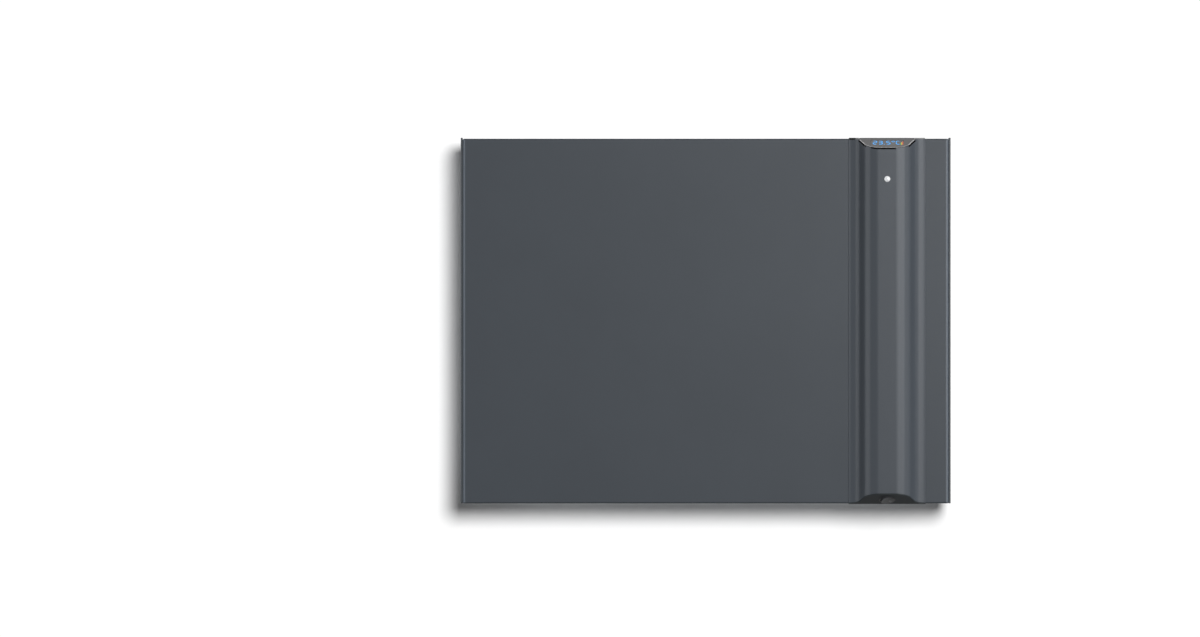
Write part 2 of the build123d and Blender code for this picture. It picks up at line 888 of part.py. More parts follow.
def terminal_block():
    low, high = terminal_z - terminal_height / 2, terminal_z + terminal_height / 2
    front = rear_inner_y - terminal_depth
    half = terminal_width / 2
    body = block(terminal_x - half, terminal_x + half, front, rear_inner_y, low, high)
    body = fillet(body.edges().filter_by(Axis.Z), terminal_radius)
    tube_room = terminal_tube_radius + seat_gap
    cuts = [rod_z(x, terminal_axis_y, tube_room, low - over, high + over) for x in terminal_poles()]
    well = front - over, terminal_axis_y
    cuts += [rod_y(x, z, terminal_well_radius, *well) for x, z in terminal_screw_places()]
    fixings = [terminal_x + side * terminal_pitch / 2 for side in (-1, 1)]
    cuts += [hole_y(x, terminal_z, terminal_fixing_radius, front, rear_inner_y) for x in fixings]
    return body - cuts


def terminal_tubes():
    half = terminal_height / 2 - terminal_tube_inset
    low, high = terminal_z - half, terminal_z + half
    tubes = []
    for x in terminal_poles():
        tube = rod_z(x, terminal_axis_y, terminal_tube_radius, low, high)
        tube -= rod_z(x, terminal_axis_y, terminal_hole_radius, low - over, high + over)
        front = terminal_axis_y - terminal_tube_radius - over
        places = [place for place in terminal_screw_places() if place[0] == x]
        tubes.append(tube - [rod_y(x, z, terminal_thread_radius, front, terminal_axis_y) for x, z in places])
    return Compound(tubes)


def terminal_screws():
    """Slotted clamping screws, standing in the wells of the block."""
    foot_y = terminal_axis_y - terminal_hole_radius
    head_y = foot_y - terminal_screw_length
    slot_y = head_y + terminal_slot_depth
    reach = terminal_screw_head_radius + over
    half = screw_drive_width / 2
    screws = []
    for x, z in terminal_screw_places():
        screw = rod_y(x, z, terminal_thread_radius - shaft_gap, head_y, foot_y)
        screw += rod_y(x, z, terminal_screw_head_radius, head_y, head_y + terminal_screw_head)
        screws.append(screw - block(x - reach, x + reach, head_y - over, slot_y, z - half, z + half))
    return Compound(screws)


def cable_gland():
    """The mains inlet: a moulded bush through the rear cover, with nothing in it."""
    flange_y = rear_y + gland_flange
    nose_y = flange_y + gland_nose
    inner_y = rear_inner_y - gland_inner
    body = rod_y(column_x, gland_z, gland_barrel_radius, inner_y, flange_y)
    flange = rod_y(column_x, gland_z, gland_flange_radius, rear_y, flange_y)
    flange = chamfer(flange.edges().group_by(Axis.Y)[-1], gland_flange_edge)
    nose = Pos(column_x, (flange_y + nose_y) / 2, gland_z) * Rot(-90, 0, 0) * Cone(
        gland_barrel_radius, gland_tip_radius, gland_nose
    )
    return body + flange + nose - hole_y(column_x, gland_z, gland_bore_radius, inner_y, nose_y)


def gland_nut():
    low = rear_inner_y - gland_nut_height
    outline = Plane.XZ * Pos(column_x, gland_z) * RegularPolygon(gland_nut_radius, 6)
    nut = Pos(0, low, 0) * extrude(outline, amount=gland_nut_height, dir=(0, 1, 0))
    return nut - hole_y(column_x, gland_z, gland_barrel_radius + shaft_gap, low, rear_inner_y)


# ---------------------------------------------------------------- control column
def boss_places():
    return [(column_x + side * boss_x, z) for side in (-1, 1) for z in boss_rows]


def column_cover():
    """The moulded shell, with screw bosses on its inside and room for the cap, the foot and the lens."""
    shell = column_bar(0, bottom_z, top_z) - column_bar(column_wall, bottom_z - over, top_z + over)
    core = column_bar(column_wall / 2, bottom_z, top_z)
    shell += [rod_y(x, z, boss_radius, column_y, plate_y) & core for x, z in boss_places()]
    bore_y = plate_y - boss_bore_depth
    bores = [rod_y(x, z, boss_bore_radius, bore_y, plate_y + over) for x, z in boss_places()]
    lens_hole = hole_y(column_x, indicator_z, indicator_radius + shaft_gap, column_y, column_inner_y)
    return shell - bores - lens_hole - cap_space() - foot_space()


def cap_space():
    """What the cap takes off the column's top: the facet, the vents under it and the two shelves."""
    clear = 3 * column_rise
    half = cap_half_width + seat_gap
    low = cap_thickness + seat_gap
    space = facet_slab(top_facet, -clear, low, -half, half)
    for left, right in cap_vents():
        space += facet_slab(top_facet, 0, cap_thickness + vent_gap, left, right)
    shelf_low = top_z - deck_edge - seat_gap
    reach = column_half_width + over
    for left, right in ((-reach, -half), (half, reach)):
        space += block(column_x + left, column_x + right, column_y, plate_y + over, shelf_low, top_z + over)
    return space


def cap_vents():
    """The stretches of the joint under the cap that stay open, left and right of the column's middle."""
    return [
        (-cap_half_width, -vent_flank_start),
        (-vent_face_left, vent_face_right),
        (vent_flank_start, cap_half_width),
    ]


def foot_space():
    """What the slanted foot takes off the column's lower end."""
    return facet_slab(bottom_facet, -3 * column_rise, bottom_cap_rim + seat_gap)


def turned_y(x, z, y, corners, bulge=None):
    """A turned piece along Y from (radius, distance behind y) corners, with a round nose if given a bulge."""
    edges = [Line(start, end) for start, end in zip(corners, corners[1:])]
    if bulge:
        edges.append(RadiusArc(corners[-1], corners[0], bulge))
    else:
        edges.append(Line(corners[-1], corners[0]))
    profile = make_face(Wire(edges))
    return Pos(x, y, z) * revolve(profile, Axis.Y)


def indicator_lens():
    """An opal lens pushed through from inside, with a domed face."""
    sphere = (indicator_radius**2 + indicator_rise**2) / (2 * indicator_rise)
    back = column_wall + indicator_flange
    nose = -indicator_rise
    corners = [
        (0, nose),
        (0, back),
        (indicator_flange_radius, back),
        (indicator_flange_radius, column_wall),
        (indicator_radius, column_wall),
        (indicator_radius, 0),
    ]
    return turned_y(column_x, indicator_z, column_y, corners, sphere)


def indicator_led():
    """The light behind the lens, standing on the control board."""
    dome_y = column_inner_y + indicator_flange + led_gap + led_radius
    body = rod_y(column_x, indicator_z, led_radius, dome_y, pcb_front_y)
    tip = Pos(column_x, dome_y, indicator_z) * Sphere(led_radius)
    rim = rod_y(column_x, indicator_z, led_radius + led_rim, pcb_front_y - led_rim_height, pcb_front_y)
    return body + tip + rim


def well_block(clearance, low, high):
    """The key well's outline grown by a clearance, between two heights."""
    half = well_width / 2 + clearance
    y_low = plate_y + well_y - well_length / 2 - clearance
    y_high = plate_y + well_y + well_length / 2 + clearance
    return block(column_x - half, column_x + half, y_low, y_high, low, high)


def key_xs():
    return [column_x - key_pitch, column_x, column_x + key_pitch]


def display_cap():
    """The slanted facet, the flat deck behind it, and the key well under the deck."""
    low = top_z - 2 * column_rise
    facet = column_bar(0, low, top_z, cap_half_width) & facet_slab(top_facet, 0, cap_thickness)
    face = facet.faces().sort_by(Axis(top_facet.origin, top_facet.z_dir))[-1]
    facet = chamfer(face.edges().sort_by(Axis.Y)[:-1], cap_edge_chamfer)
    inset = column_wall + running_gap
    skirt = column_bar(inset, low, top_z, cap_half_width - cap_skirt_inset)
    skirt -= column_bar(inset + cap_skirt_wall, low - over, top_z + over)
    skirt &= facet_slab(top_facet, cap_thickness / 2, cap_thickness + cap_skirt_depth)
    well = well_block(0, top_z - well_depth, top_z)
    well -= well_block(-well_wall, top_z - well_depth - over, top_z - well_top)
    cuts = [display_rebate(), display_pocket(), cap_notch()]
    keyhole = key_width + 2 * running_gap, key_length + 2 * running_gap
    cuts += [key_prism(x, *keyhole, top_z - well_top - over, top_z + over) for x in key_xs()]
    return facet + skirt + cap_deck() + well + display_frame() - cuts


def cap_deck():
    """The deck over the plate's top edge, with a thicker edge in front on each side of the facet."""
    left, right = column_x - deck_half_width, column_x + deck_half_width
    deck = block(left, right, plate_y, flange_end_y, top_z - plate_drop + seat_gap, top_z)
    deck = fillet(deck.edges().filter_by(Axis.Z).group_by(Axis.Y)[-1], deck_corner_radius)
    edge = column_bar(0, top_z - deck_edge, top_z, deck_half_width)
    left, right = column_x - cap_half_width, column_x + cap_half_width
    edge -= block(left, right, column_y - over, plate_y + over, top_z - deck_edge - over, top_z + over)
    return deck + edge


def cap_notch():
    """The notch in the left end of the deck's edge, for lifting the cap off."""
    left, right = column_x - deck_half_width - over, column_x - notch_start
    front = plate_y - shelf_height - over
    return block(left, right, front, plate_y, top_z - deck_edge - over, top_z - notch_skin)


def display_middle():
    return top_facet_length / 2


def display_frame():
    """The ribs under the facet that hold the display."""
    width = window_width + 2 * display_frame_margin
    height = window_height + 2 * display_frame_margin
    depth = display_frame_depth
    low = cap_thickness / 2
    return top_facet * Pos(0, display_middle(), -(low + depth) / 2) * Box(width, height, depth - low)


def display_rebate():
    width = window_width + 2 * window_fit
    height = window_height + 2 * window_fit
    face = RectangleRounded(width, height, window_radius + window_fit)
    sunk = window_thickness + seat_gap
    return top_facet * Pos(0, display_middle(), -sunk) * extrude(face, amount=sunk + over)


def display_pocket():
    width = window_width - 2 * window_ledge
    height = window_height - 2 * window_ledge
    depth = display_frame_depth + over
    return top_facet * Pos(0, display_middle(), -depth) * extrude(Rectangle(width, height), amount=depth)


def display_window():
    face = RectangleRounded(window_width, window_height, window_radius)
    plate = extrude(face, amount=window_thickness)
    return top_facet * Pos(0, display_middle(), -window_thickness - seat_gap) * plate


def display_module():
    """The display itself, held in the frame behind its window."""
    width = window_width - 2 * window_ledge - 2 * running_gap
    height = window_height - 2 * window_ledge - 2 * running_gap
    depth = display_module_depth + display_board
    front = window_thickness + seat_gap + running_gap
    return top_facet * Pos(0, display_middle(), -front - depth / 2) * Box(width, height, depth)


def key_prism(x, width, length, low, high):
    """A key-shaped block with rounded corners, along Z."""
    face = Pos(x, plate_y + well_y) * RectangleRounded(width, length, key_radius)
    return Pos(0, 0, low) * extrude(face, amount=high - low)


def key(step):
    """One key: a cap with a crowned rim, a skirt that keeps it in, and a stem over its switch."""
    x = key_xs()[step]
    top = top_z - key_recess
    skirt_top = top_z - well_top - running_gap
    skirt_low = skirt_top - key_skirt_height
    cap = key_prism(x, key_width, key_length, skirt_low, top)
    cap = fillet(cap.edges().group_by(Axis.Z)[-1], key_crown_radius)
    skirt = key_prism(x, key_width + 2 * key_skirt, key_length + 2 * key_skirt, skirt_low, skirt_top)
    stem_low = key_plunger_top() + running_gap + key_travel
    stem = rod_z(x, plate_y + well_y, key_stem_radius, stem_low, skirt_low)
    return cap + skirt + stem


def key_plunger_top():
    return top_z - well_depth + key_board_thickness + key_switch_height + key_plunger_height


def key_board():
    """The small board that closes the key well from below, with its push switches."""
    low = top_z - well_depth
    face = low + key_board_thickness
    board = well_block(-well_wall - seat_gap, low, face)
    for x in key_xs():
        body = Box(key_switch_size, key_switch_size, key_switch_height)
        body = fillet(body.edges().filter_by(Axis.Z), key_switch_radius)
        board += Pos(x, plate_y + well_y, face + key_switch_height / 2) * body
        board += rod_z(x, plate_y + well_y, key_plunger_radius, face, key_plunger_top())
    return board


# ---------------------------------------------------------------- rocker switch
def rocker_place():
    """The plane at the switch's centre on the bottom facet, with Z outwards and Y along the slope."""
    return bottom_facet * Pos(0, -rocker_slope_place, 0)


def bottom_cap():
    """The slanted foot: a thin rim over the cover's end and a plug inside it, with the switch's hole."""
    high = bottom_z + 2 * column_rise
    inset = column_wall + seat_gap
    rim = column_bar(0, bottom_z, high) & facet_slab(bottom_facet, 0, bottom_cap_rim)
    plug = column_bar(inset, bottom_z, high)
    skirt = plug - column_bar(inset + cap_skirt_wall, bottom_z - over, high + over)
    plug &= facet_slab(bottom_facet, bottom_cap_rim / 2, bottom_cap_thickness)
    skirt &= facet_slab(bottom_facet, bottom_cap_thickness / 2, bottom_cap_thickness + cap_skirt_depth)
    hole = rocker_place() * Cylinder(rocker_barrel_radius + seat_gap, 4 * rocker_barrel_depth)
    return rim + plug + skirt - hole


def rocker_switch_body():
    """The switch: a bezel, a barrel, the well in which the rocker swings, and two blade tabs."""
    barrel = Pos(0, 0, -rocker_barrel_depth / 2) * Cylinder(rocker_barrel_radius, rocker_barrel_depth)
    bezel = Pos(0, 0, rocker_bezel_rise / 2) * Cylinder(rocker_bezel_radius, rocker_bezel_rise)
    bezel = chamfer(bezel.edges().group_by(Axis.Z)[-1], rocker_bezel_edge)
    deep = rocker_well_depth + rocker_bezel_rise + over
    well = Pos(0, 0, -rocker_well_depth + deep / 2) * Cylinder(rocker_bezel_radius_inner, deep)
    pin_hole = Pos(0, 0, -rocker_pivot_depth) * Rot(90, 0, 0) * Cylinder(
        rocker_pin_radius + shaft_gap, 2 * rocker_barrel_radius + 2 * over
    )
    middle = -rocker_barrel_depth - tab_length / 2
    tab = Box(tab_thickness, tab_width, tab_length)
    tabs = [Pos(side * tab_spacing / 2, 0, middle) * tab for side in (-1, 1)]
    return rocker_place() * (barrel + bezel + tabs - well - pin_hole)


def power_rocker():
    """The rocker, dished across and pivoted on two pins, resting with its left half proud."""
    height = rocker_top + rocker_bottom
    disc = Pos(0, 0, (rocker_top - rocker_bottom) / 2) * Cylinder(rocker_radius, height)
    dish_z = rocker_top + rocker_dish_radius - rocker_dish_depth
    dish = Pos(0, 0, dish_z) * Rot(90, 0, 0) * Cylinder(rocker_dish_radius, 4 * rocker_radius)
    pins = Rot(90, 0, 0) * Cylinder(rocker_pin_radius, 2 * (rocker_barrel_radius - rocker_pin_gap))
    return rocker_place() * Pos(0, 0, -rocker_pivot_depth) * Rot(0, rocker_tilt, 0) * (disc - dish + pins)


# ---------------------------------------------------------------- column electronics
def standoff_places():
    across = board_half_width - standoff_inset
    rows = (carrier_low + standoff_foot_margin, carrier_high - standoff_head_margin)
    return [(column_x + side * across, z) for side in (-1, 1) for z in rows]


def column_carrier():
    """The moulded tray between the plate and the control board."""
    front = plate_y - carrier_thickness
    left, right = column_x - carrier_half_width, column_x + carrier_half_width
    tray = block(left, right, front, plate_y, carrier_low, carrier_high)
    tray = fillet(tray.edges().filter_by(Axis.Y), carrier_radius)
    tray += [rod_y(x, z, standoff_radius, front - standoff_height, front) for x, z in standoff_places()]
    bore = screw_radius - board_screw_gap + shaft_gap
    tray -= [hole_y(x, z, bore, front - standoff_height, plate_y) for x, z in standoff_places()]
    return tray - lead_slot(front, plate_y)


def control_board():
    """The circuit board, notched at its foot for the leads."""
    back = pcb_front_y + pcb_thickness
    low, high = carrier_low + board_margin, carrier_high - board_margin
    board = block(column_x - board_half_width, column_x + board_half_width, pcb_front_y, back, low, high)
    half = board_notch_half_width
    notch_top = carrier_low + board_notch_height
    board -= block(column_x - half, column_x + half, pcb_front_y - over, back + over, low - over, notch_top)
    room = screw_radius + board_screw_room
    return board - [hole_y(x, z, room, pcb_front_y, back) for x, z in standoff_places()]


def board_screws():
    size = screw_radius - board_screw_gap, board_screw_length
    return Compound([pan_screw_y(x, z, *size, pcb_front_y, 1) for x, z in standoff_places()])


def on_board(place, size):
    """A component's block of width, height and rise, standing on the front of the control board."""
    width, height, rise = size
    centre = (column_x + place[0], pcb_front_y - rise / 2, carrier_low + place[1])
    return Pos(*centre) * Box(width, rise, height)


def relay():
    body = on_board(relay_place, relay_size)
    return fillet(body.edges().group_by(Axis.Y)[0], relay_radius)


def power_module():
    body = on_board(module_place, module_size)
    return fillet(body.edges().filter_by(Axis.Y), module_radius)


def capacitor():
    """A round electrolytic capacitor lying on the board."""
    x, z = column_x + capacitor_place[0], carrier_low + capacitor_place[1]
    half = capacitor_length / 2
    can = rod_z(x, pcb_front_y - capacitor_radius, capacitor_radius, z - half, z + half)
    return chamfer(can.edges().filter_by(GeomType.CIRCLE), capacitor_edge)


def fuse():
    """A glass fuse with its two end caps, in clips on the board."""
    x, z = column_x + fuse_place[0], carrier_low + fuse_place[1]
    y = pcb_front_y - fuse_cap_radius - fuse_lift
    half = fuse_length / 2
    body = rod_z(x, y, fuse_radius, z - half, z + half)
    step = half - fuse_cap_length / 2
    for middle in (-step, step):
        low = z + middle - fuse_cap_length / 2
        body += rod_z(x, y, fuse_cap_radius, low, low + fuse_cap_length)
        body += on_board((fuse_place[0], fuse_place[1] + middle), fuse_clip_size)
    return body


def board_connector():
    """The header that the leads from the casing plug into."""
    body = on_board(connector_place, connector_size)
    front = pcb_front_y - connector_size[2]
    x, z = column_x + connector_place[0], carrier_low + connector_place[1]
    well = Box(connector_well[0], 2 * connector_well_depth, connector_well[1])
    return body - [Pos(x, front, z + step * connector_pitch) * well for step in (-1, 0, 1)]


def column_screws():
    """Screws from inside the plate into the cover's bosses."""
    size = boss_bore_radius - shaft_gap, column_screw_length
    return Compound([pan_screw_y(x, z, *size, plate_back_y, -1) for x, z in boss_places()])


# ---------------------------------------------------------------- internal leads
def terminal_mouth(pole):
    """Where a lead enters the top of the terminal block."""
    return terminal_poles()[pole], terminal_axis_y, terminal_z + terminal_height / 2 - lead_entry


def cutout_tab(side, z):
    """A place beside the end of one tab of a thermal cutout."""
    tab_end = plate_back_y + cutout_body + cutout_base + cutout_tab_length
    return cutout_x + side * cutout_tab_spacing / 2, tab_end + running_gap + lead_radius, z


def lug_end(place):
    """Where a lead ends on the tab of one of the film's lugs."""
    x, z = terminal_places()[place]
    return x + lug_foot / 2 + running_gap, lug_lead_y, z


def lead_live():
    x, y, z = terminal_mouth(0)
    tab_x, tab_y, tab_z = cutout_tab(1, cutout_lower_z)
    return lead(
        (x, y, z), (x, y, z + live_run), (tab_x, tab_y, tab_z - tab_run), (tab_x, tab_y, tab_z + tab_run)
    )


def lead_link():
    x, y, z = cutout_tab(-1, cutout_lower_z)
    high = cutout_upper_z
    return lead(
        (x, y, z - tab_run),
        (x, y, z + link_run),
        (x - link_shift, y, z + 2 * link_run),
        (x - link_shift, y, high - 2 * link_run),
        (x, y, high - link_run),
        (x, y, high + tab_run),
    )


def lead_element():
    x, y, z = cutout_tab(1, cutout_upper_z)
    end_x, end_y, end_z = lug_end(1)
    return lead(
        (x, y, z - tab_run), (x, y, z + element_run), (x - element_shift, end_y, end_z), (end_x, end_y, end_z)
    )


def lead_neutral():
    x, y, z = terminal_mouth(1)
    end_x, end_y, end_z = lug_end(0)
    turn_x = post_middle_x + post_radius + neutral_post_gap
    turn_z = z + neutral_run
    return lead((x, y, z), (x, y, turn_z), (turn_x, y, turn_z), (turn_x, end_y, end_z), (end_x, end_y, end_z))


def lead_board():
    x, y, z = terminal_mouth(2)
    slot_x = column_x + board_lead_shift
    end = pcb_front_y + pcb_thickness + board_lead_end_gap
    return lead((x, y, z), (x, y, z + board_run), (slot_x, y, slot_z), (slot_x, end, slot_z))


def lead_switch():
    out = tab_spacing / 2 + tab_thickness / 2 + lead_radius + seat_gap
    start = (rocker_place() * Pos(out, 0, -rocker_barrel_depth - tab_length / 2)).position
    slot_x = column_x - switch_lead_shift
    y = plate_back_y + switch_lead_depth
    return lead(
        (start.X, start.Y, start.Z),
        (start.X, start.Y + switch_lead_out, start.Z + switch_lead_rise),
        (start.X - switch_lead_out, y, start.Z + switch_lead_bend),
        (slot_x, y, slot_z - switch_lead_run),
        (slot_x, y, slot_z),
        (slot_x, pcb_front_y + pcb_thickness + board_lead_end_gap, slot_z),
    )


# ---------------------------------------------------------------- wall bracket
def hook_xs():
    """The middles of the arms' four side walls, which carry the hooks."""
    half = arm_width / 2 - bracket_sheet / 2
    return [side * arm_x + wall * half for side in (-1, 1) for wall in (-1, 1)]


def hook_slot(x, z):
    """The slot in the rear cover that one hook passes through."""
    high = z + hook_height / 2 + running_gap
    half = hook_slot_width / 2
    return block(x - half, x + half, rear_inner_y - over, rear_y + over, high - hook_slot_height, high)


def hook(x, z):
    """A hook on one side wall: an arm through the rear cover, and a finger up behind its sheet."""
    half = bracket_sheet / 2
    back_y = rear_inner_y - hook_finger_gap
    tip_y = back_y - hook_finger_thickness
    low, high = z - hook_height / 2, z + hook_height / 2
    arm = block(x - half, x + half, tip_y, arm_front_y + over, low, high)
    finger = block(x - half, x + half, tip_y, back_y, low, high + hook_finger)
    corners = finger.edges().filter_by(Axis.X).group_by(Axis.Z)[-1]
    return arm + fillet(corners, hook_finger_radius)


def wall_hole_places():
    return [(side * arm_x, height) for side in (-1, 1) for height in (-wall_hole_z, wall_hole_z)]


def bracket_rivet_places():
    return [(x, z + step) for x, z in wall_hole_places() for step in (-rivet_offset, rivet_offset)]


def bracket_holes(y_low, y_high):
    """The cutters for the wall screws and the rivets."""
    holes = [hole_y(x, z, wall_hole_radius, y_low, y_high) for x, z in wall_hole_places()]
    return holes + [hole_y(x, z, rivet_radius + shaft_gap, y_low, y_high) for x, z in bracket_rivet_places()]


def bracket_rail(z):
    """A level strip against the wall, joining the two arms."""
    rail = rounded_slab_y(0, z, 2 * (arm_x + rail_overhang), rail_height, rail_radius, -bracket_sheet, 0)
    return rail - bracket_holes(-bracket_sheet, 0)


def bracket_arm(side):
    """An upright channel with hooks on its side walls and a bridge for the latch at its top."""
    x = side * arm_x
    half = arm_width / 2
    inner = half - bracket_sheet
    back = -bracket_sheet
    web_front = back - bracket_sheet
    bridge_y = arm_front_y - bracket_sheet
    channel = block(x - half, x + half, arm_front_y, back, arm_low, arm_high)
    channel -= block(x - inner, x + inner, arm_front_y - over, web_front, arm_low - over, arm_high + over)
    channel += block(x - half, x + half, bridge_y, arm_front_y, arm_high - latch_bridge, arm_high)
    channel += [hook(place, z) for place in hook_xs() if place * side > 0 for z in hook_rows]
    pivot_hole = hole_y(x, latch_z, latch_pivot_radius + shaft_gap, bridge_y, arm_front_y)
    return channel - bracket_holes(web_front, back) - pivot_hole


def bracket_rivets():
    """Rivets with low bevelled heads, flush with the wall side of the rails."""
    size = rivet_radius, rivet_head_radius, rivet_head
    return [rivet_y(x, z, *size, -2 * bracket_sheet, 0) for x, z in bracket_rivet_places()]


def latch(side):
    """A turning latch: a boss with a finger down over the keeper and a thumb tab up."""
    boss = Circle(latch_boss_radius)
    finger = Pos(0, -latch_reach / 2) * Rectangle(latch_width, latch_reach) & Circle(latch_reach)
    thumb = Pos(0, latch_thumb / 2) * Rectangle(latch_thumb_width, latch_thumb) & Circle(latch_thumb)
    face = boss + finger + thumb - Circle(latch_pivot_radius + latch_bearing_gap)
    plate = Plane.XZ * Pos(side * arm_x, latch_z) * face
    return Pos(0, latch_back_y - latch_thickness, 0) * extrude(plate, amount=latch_thickness, dir=(0, 1, 0))


def latch_pivots():
    """A headed rivet for each latch to turn on."""
    front = latch_back_y - latch_thickness - running_gap
    pivots = []
    for x in (-arm_x, arm_x):
        pin = rod_y(x, latch_z, latch_pivot_radius, front, arm_front_y)
        head = rod_y(x, latch_z, pivot_head_radius, front - pivot_head, front)
        tail = rod_y(x, latch_z, pivot_tail_radius, arm_front_y, arm_front_y + pivot_tail)
        pivots.append(pin + head + tail)
    return Compound(pivots)


def keeper_rivet_places():
    z = keeper_top - keeper_rivet_drop
    return [(side * arm_x + step, z) for side in (-1, 1) for step in (-keeper_rivet_step, keeper_rivet_step)]


def keeper(side):
    """The angle on the rear cover that the latch's finger holds down."""
    left, right = side * arm_x - keeper_half_width, side * arm_x + keeper_half_width
    face_y = rear_y + keeper_sheet
    leg = block(left, right, rear_y, face_y, keeper_top - keeper_drop, keeper_top)
    shelf = block(left, right, rear_y, rear_y + keeper_reach, keeper_top - keeper_sheet, keeper_top)
    room = rivet_radius + shaft_gap
    return leg + shelf - [hole_y(x, z, room, rear_y, face_y) for x, z in keeper_rivet_places()]


def keeper_rivets():
    """Rivets through the rear cover and the keepers, headed on both sides."""
    face_y = rear_y + keeper_sheet
    rivets = []
    for x, z in keeper_rivet_places():
        shank = rod_y(x, z, rivet_radius, rear_inner_y, face_y)
        inner = rod_y(x, z, keeper_rivet_head_radius, rear_inner_y - keeper_rivet_head, rear_inner_y)
        outer = rod_y(x, z, keeper_rivet_head_radius, face_y, face_y + keeper_rivet_head)
        rivets.append(shank + inner + outer)
    return rivets


def wall_buffers():
    """Rubber buffers that hold the heater's foot off the wall."""
    buffers = []
    for x in (-buffer_x, buffer_x):
        foot = rod_y(x, buffer_z, buffer_radius, rear_y, -running_gap)
        foot = fillet(foot.edges().group_by(Axis.Y)[-1], buffer_edge_radius)
        stem = rod_y(x, buffer_z, buffer_stem_radius, rear_inner_y, rear_y)
        lip = rod_y(x, buffer_z, buffer_lip_radius, rear_inner_y - buffer_lip, rear_inner_y)
        buffers.append(foot + stem + lip)
    return Compound(buffers)


# ---------------------------------------------------------------- the whole heater
def all_nodes():
    nodes = {
        "front_panel": front_panel(),
        "side_trim_left": side_trim(-1),
        "side_trim_right": side_trim(1),
        "rear_cover": rear_cover(),
        "panel_posts": panel_posts(),
        "rear_screws": rear_screws(),
        "heater_film": heater_film(),
        "heater_track": heater_track(),
        "heater_cover_film": heater_cover_film(),
        "film_terminals": film_terminals(),
        "reflector_foil": reflector_foil(),
        "insulation_board": insulation_board(),
        "board_rail_upper": hat_rail(hat_z),
        "board_rail_lower": hat_rail(-hat_z),
        "thermal_cutout_upper": thermal_cutout(cutout_upper_z),
        "thermal_cutout_lower": thermal_cutout(cutout_lower_z),
        "terminal_block": terminal_block(),
        "terminal_tubes": terminal_tubes(),
        "terminal_screws": terminal_screws(),
        "cable_gland": cable_gland(),
        "gland_nut": gland_nut(),
        "column_cover": column_cover(),
        "display_cap": display_cap(),
        "display_window": display_window(),
        "display_module": display_module(),
        "indicator_lens": indicator_lens(),
        "indicator_led": indicator_led(),
        "key_minus": key(0),
        "key_mode": key(1),
        "key_plus": key(2),
        "key_board": key_board(),
        "bottom_cap": bottom_cap(),
        "rocker_switch_body": rocker_switch_body(),
        "power_rocker": power_rocker(),
        "column_carrier": column_carrier(),
        "control_board": control_board(),
        "board_screws": board_screws(),
        "relay": relay(),
        "power_module": power_module(),
        "capacitor": capacitor(),
        "fuse": fuse(),
        "board_connector": board_connector(),
        "column_screws": column_screws(),
        "lead_live": lead_live(),
        "lead_link": lead_link(),
        "lead_element": lead_element(),
        "lead_neutral": lead_neutral(),
        "lead_board": lead_board(),
        "lead_switch": lead_switch(),
        "bracket_rail_upper": bracket_rail(wall_hole_z),
        "bracket_rail_lower": bracket_rail(-wall_hole_z),
        "bracket_arm_left": bracket_arm(-1),
        "bracket_arm_right": bracket_arm(1),
        "latch_left": latch(-1),
        "latch_right": latch(1),
        "latch_pivots": latch_pivots(),
        "keeper_left": keeper(-1),
        "keeper_right": keeper(1),
        "rivets": Compound(bracket_rivets() + keeper_rivets()),
        "wall_buffers": wall_buffers(),
    }
    return nodes


os.makedirs("parts", exist_ok=True)
for name, shape in all_nodes().items():
    export_step(shape, f"parts/{name}.step")
    print(name, round(shape.volume, 1))
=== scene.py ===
import json
import math

import bpy
from bpy.props import FloatProperty, FloatVectorProperty, IntProperty, PointerProperty, StringProperty
from mathutils import Matrix, Vector


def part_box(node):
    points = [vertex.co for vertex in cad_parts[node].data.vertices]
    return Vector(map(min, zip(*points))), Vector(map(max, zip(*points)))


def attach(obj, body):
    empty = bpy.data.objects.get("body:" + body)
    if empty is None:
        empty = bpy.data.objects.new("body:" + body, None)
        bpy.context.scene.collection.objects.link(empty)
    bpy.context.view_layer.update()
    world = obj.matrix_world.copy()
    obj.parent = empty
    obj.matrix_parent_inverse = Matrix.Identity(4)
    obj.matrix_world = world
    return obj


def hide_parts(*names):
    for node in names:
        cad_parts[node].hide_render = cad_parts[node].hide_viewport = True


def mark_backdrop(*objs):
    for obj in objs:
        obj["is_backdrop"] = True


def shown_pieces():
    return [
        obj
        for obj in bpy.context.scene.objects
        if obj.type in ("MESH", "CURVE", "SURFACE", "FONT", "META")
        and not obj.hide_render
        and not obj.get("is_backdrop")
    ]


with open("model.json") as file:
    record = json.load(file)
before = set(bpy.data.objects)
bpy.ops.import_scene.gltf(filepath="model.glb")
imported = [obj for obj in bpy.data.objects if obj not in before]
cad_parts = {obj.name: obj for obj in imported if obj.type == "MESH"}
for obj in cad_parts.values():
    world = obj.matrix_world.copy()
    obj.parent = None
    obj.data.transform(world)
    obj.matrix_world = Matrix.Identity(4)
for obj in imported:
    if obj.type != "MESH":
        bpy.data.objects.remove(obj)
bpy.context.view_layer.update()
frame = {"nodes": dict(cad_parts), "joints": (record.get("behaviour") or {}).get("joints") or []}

bl_info = {
    "name": "Panel heater finish",
    "version": (1, 0, 0),
    "blender": (4, 5, 0),
    "location": "3D View > Sidebar > Heater",
    "description": "Finishes a wall-hung infrared panel heater and sets it before a pale wall",
    "category": "Object",
}

MM = 0.001
UPRIGHT = (math.radians(90), 0, 0)
NODES = frame["nodes"]
JOINTS = {joint["name"]: joint for joint in frame["joints"]}


# ---------------- settings
def colour(name, description, default):
    return FloatVectorProperty(
        name=name, description=description, default=default, size=3, min=0.0, max=1.0, subtype="COLOR"
    )


def length(name, description, millimetres):
    return FloatProperty(name=name, description=description, default=millimetres * MM, min=0.0, unit="LENGTH")


def amount(name, description, default, high=10.0):
    return FloatProperty(name=name, description=description, default=default, min=0.0, max=high)


def angle(name, description, degrees):
    return FloatProperty(name=name, description=description, default=math.radians(degrees), unit="ROTATION")


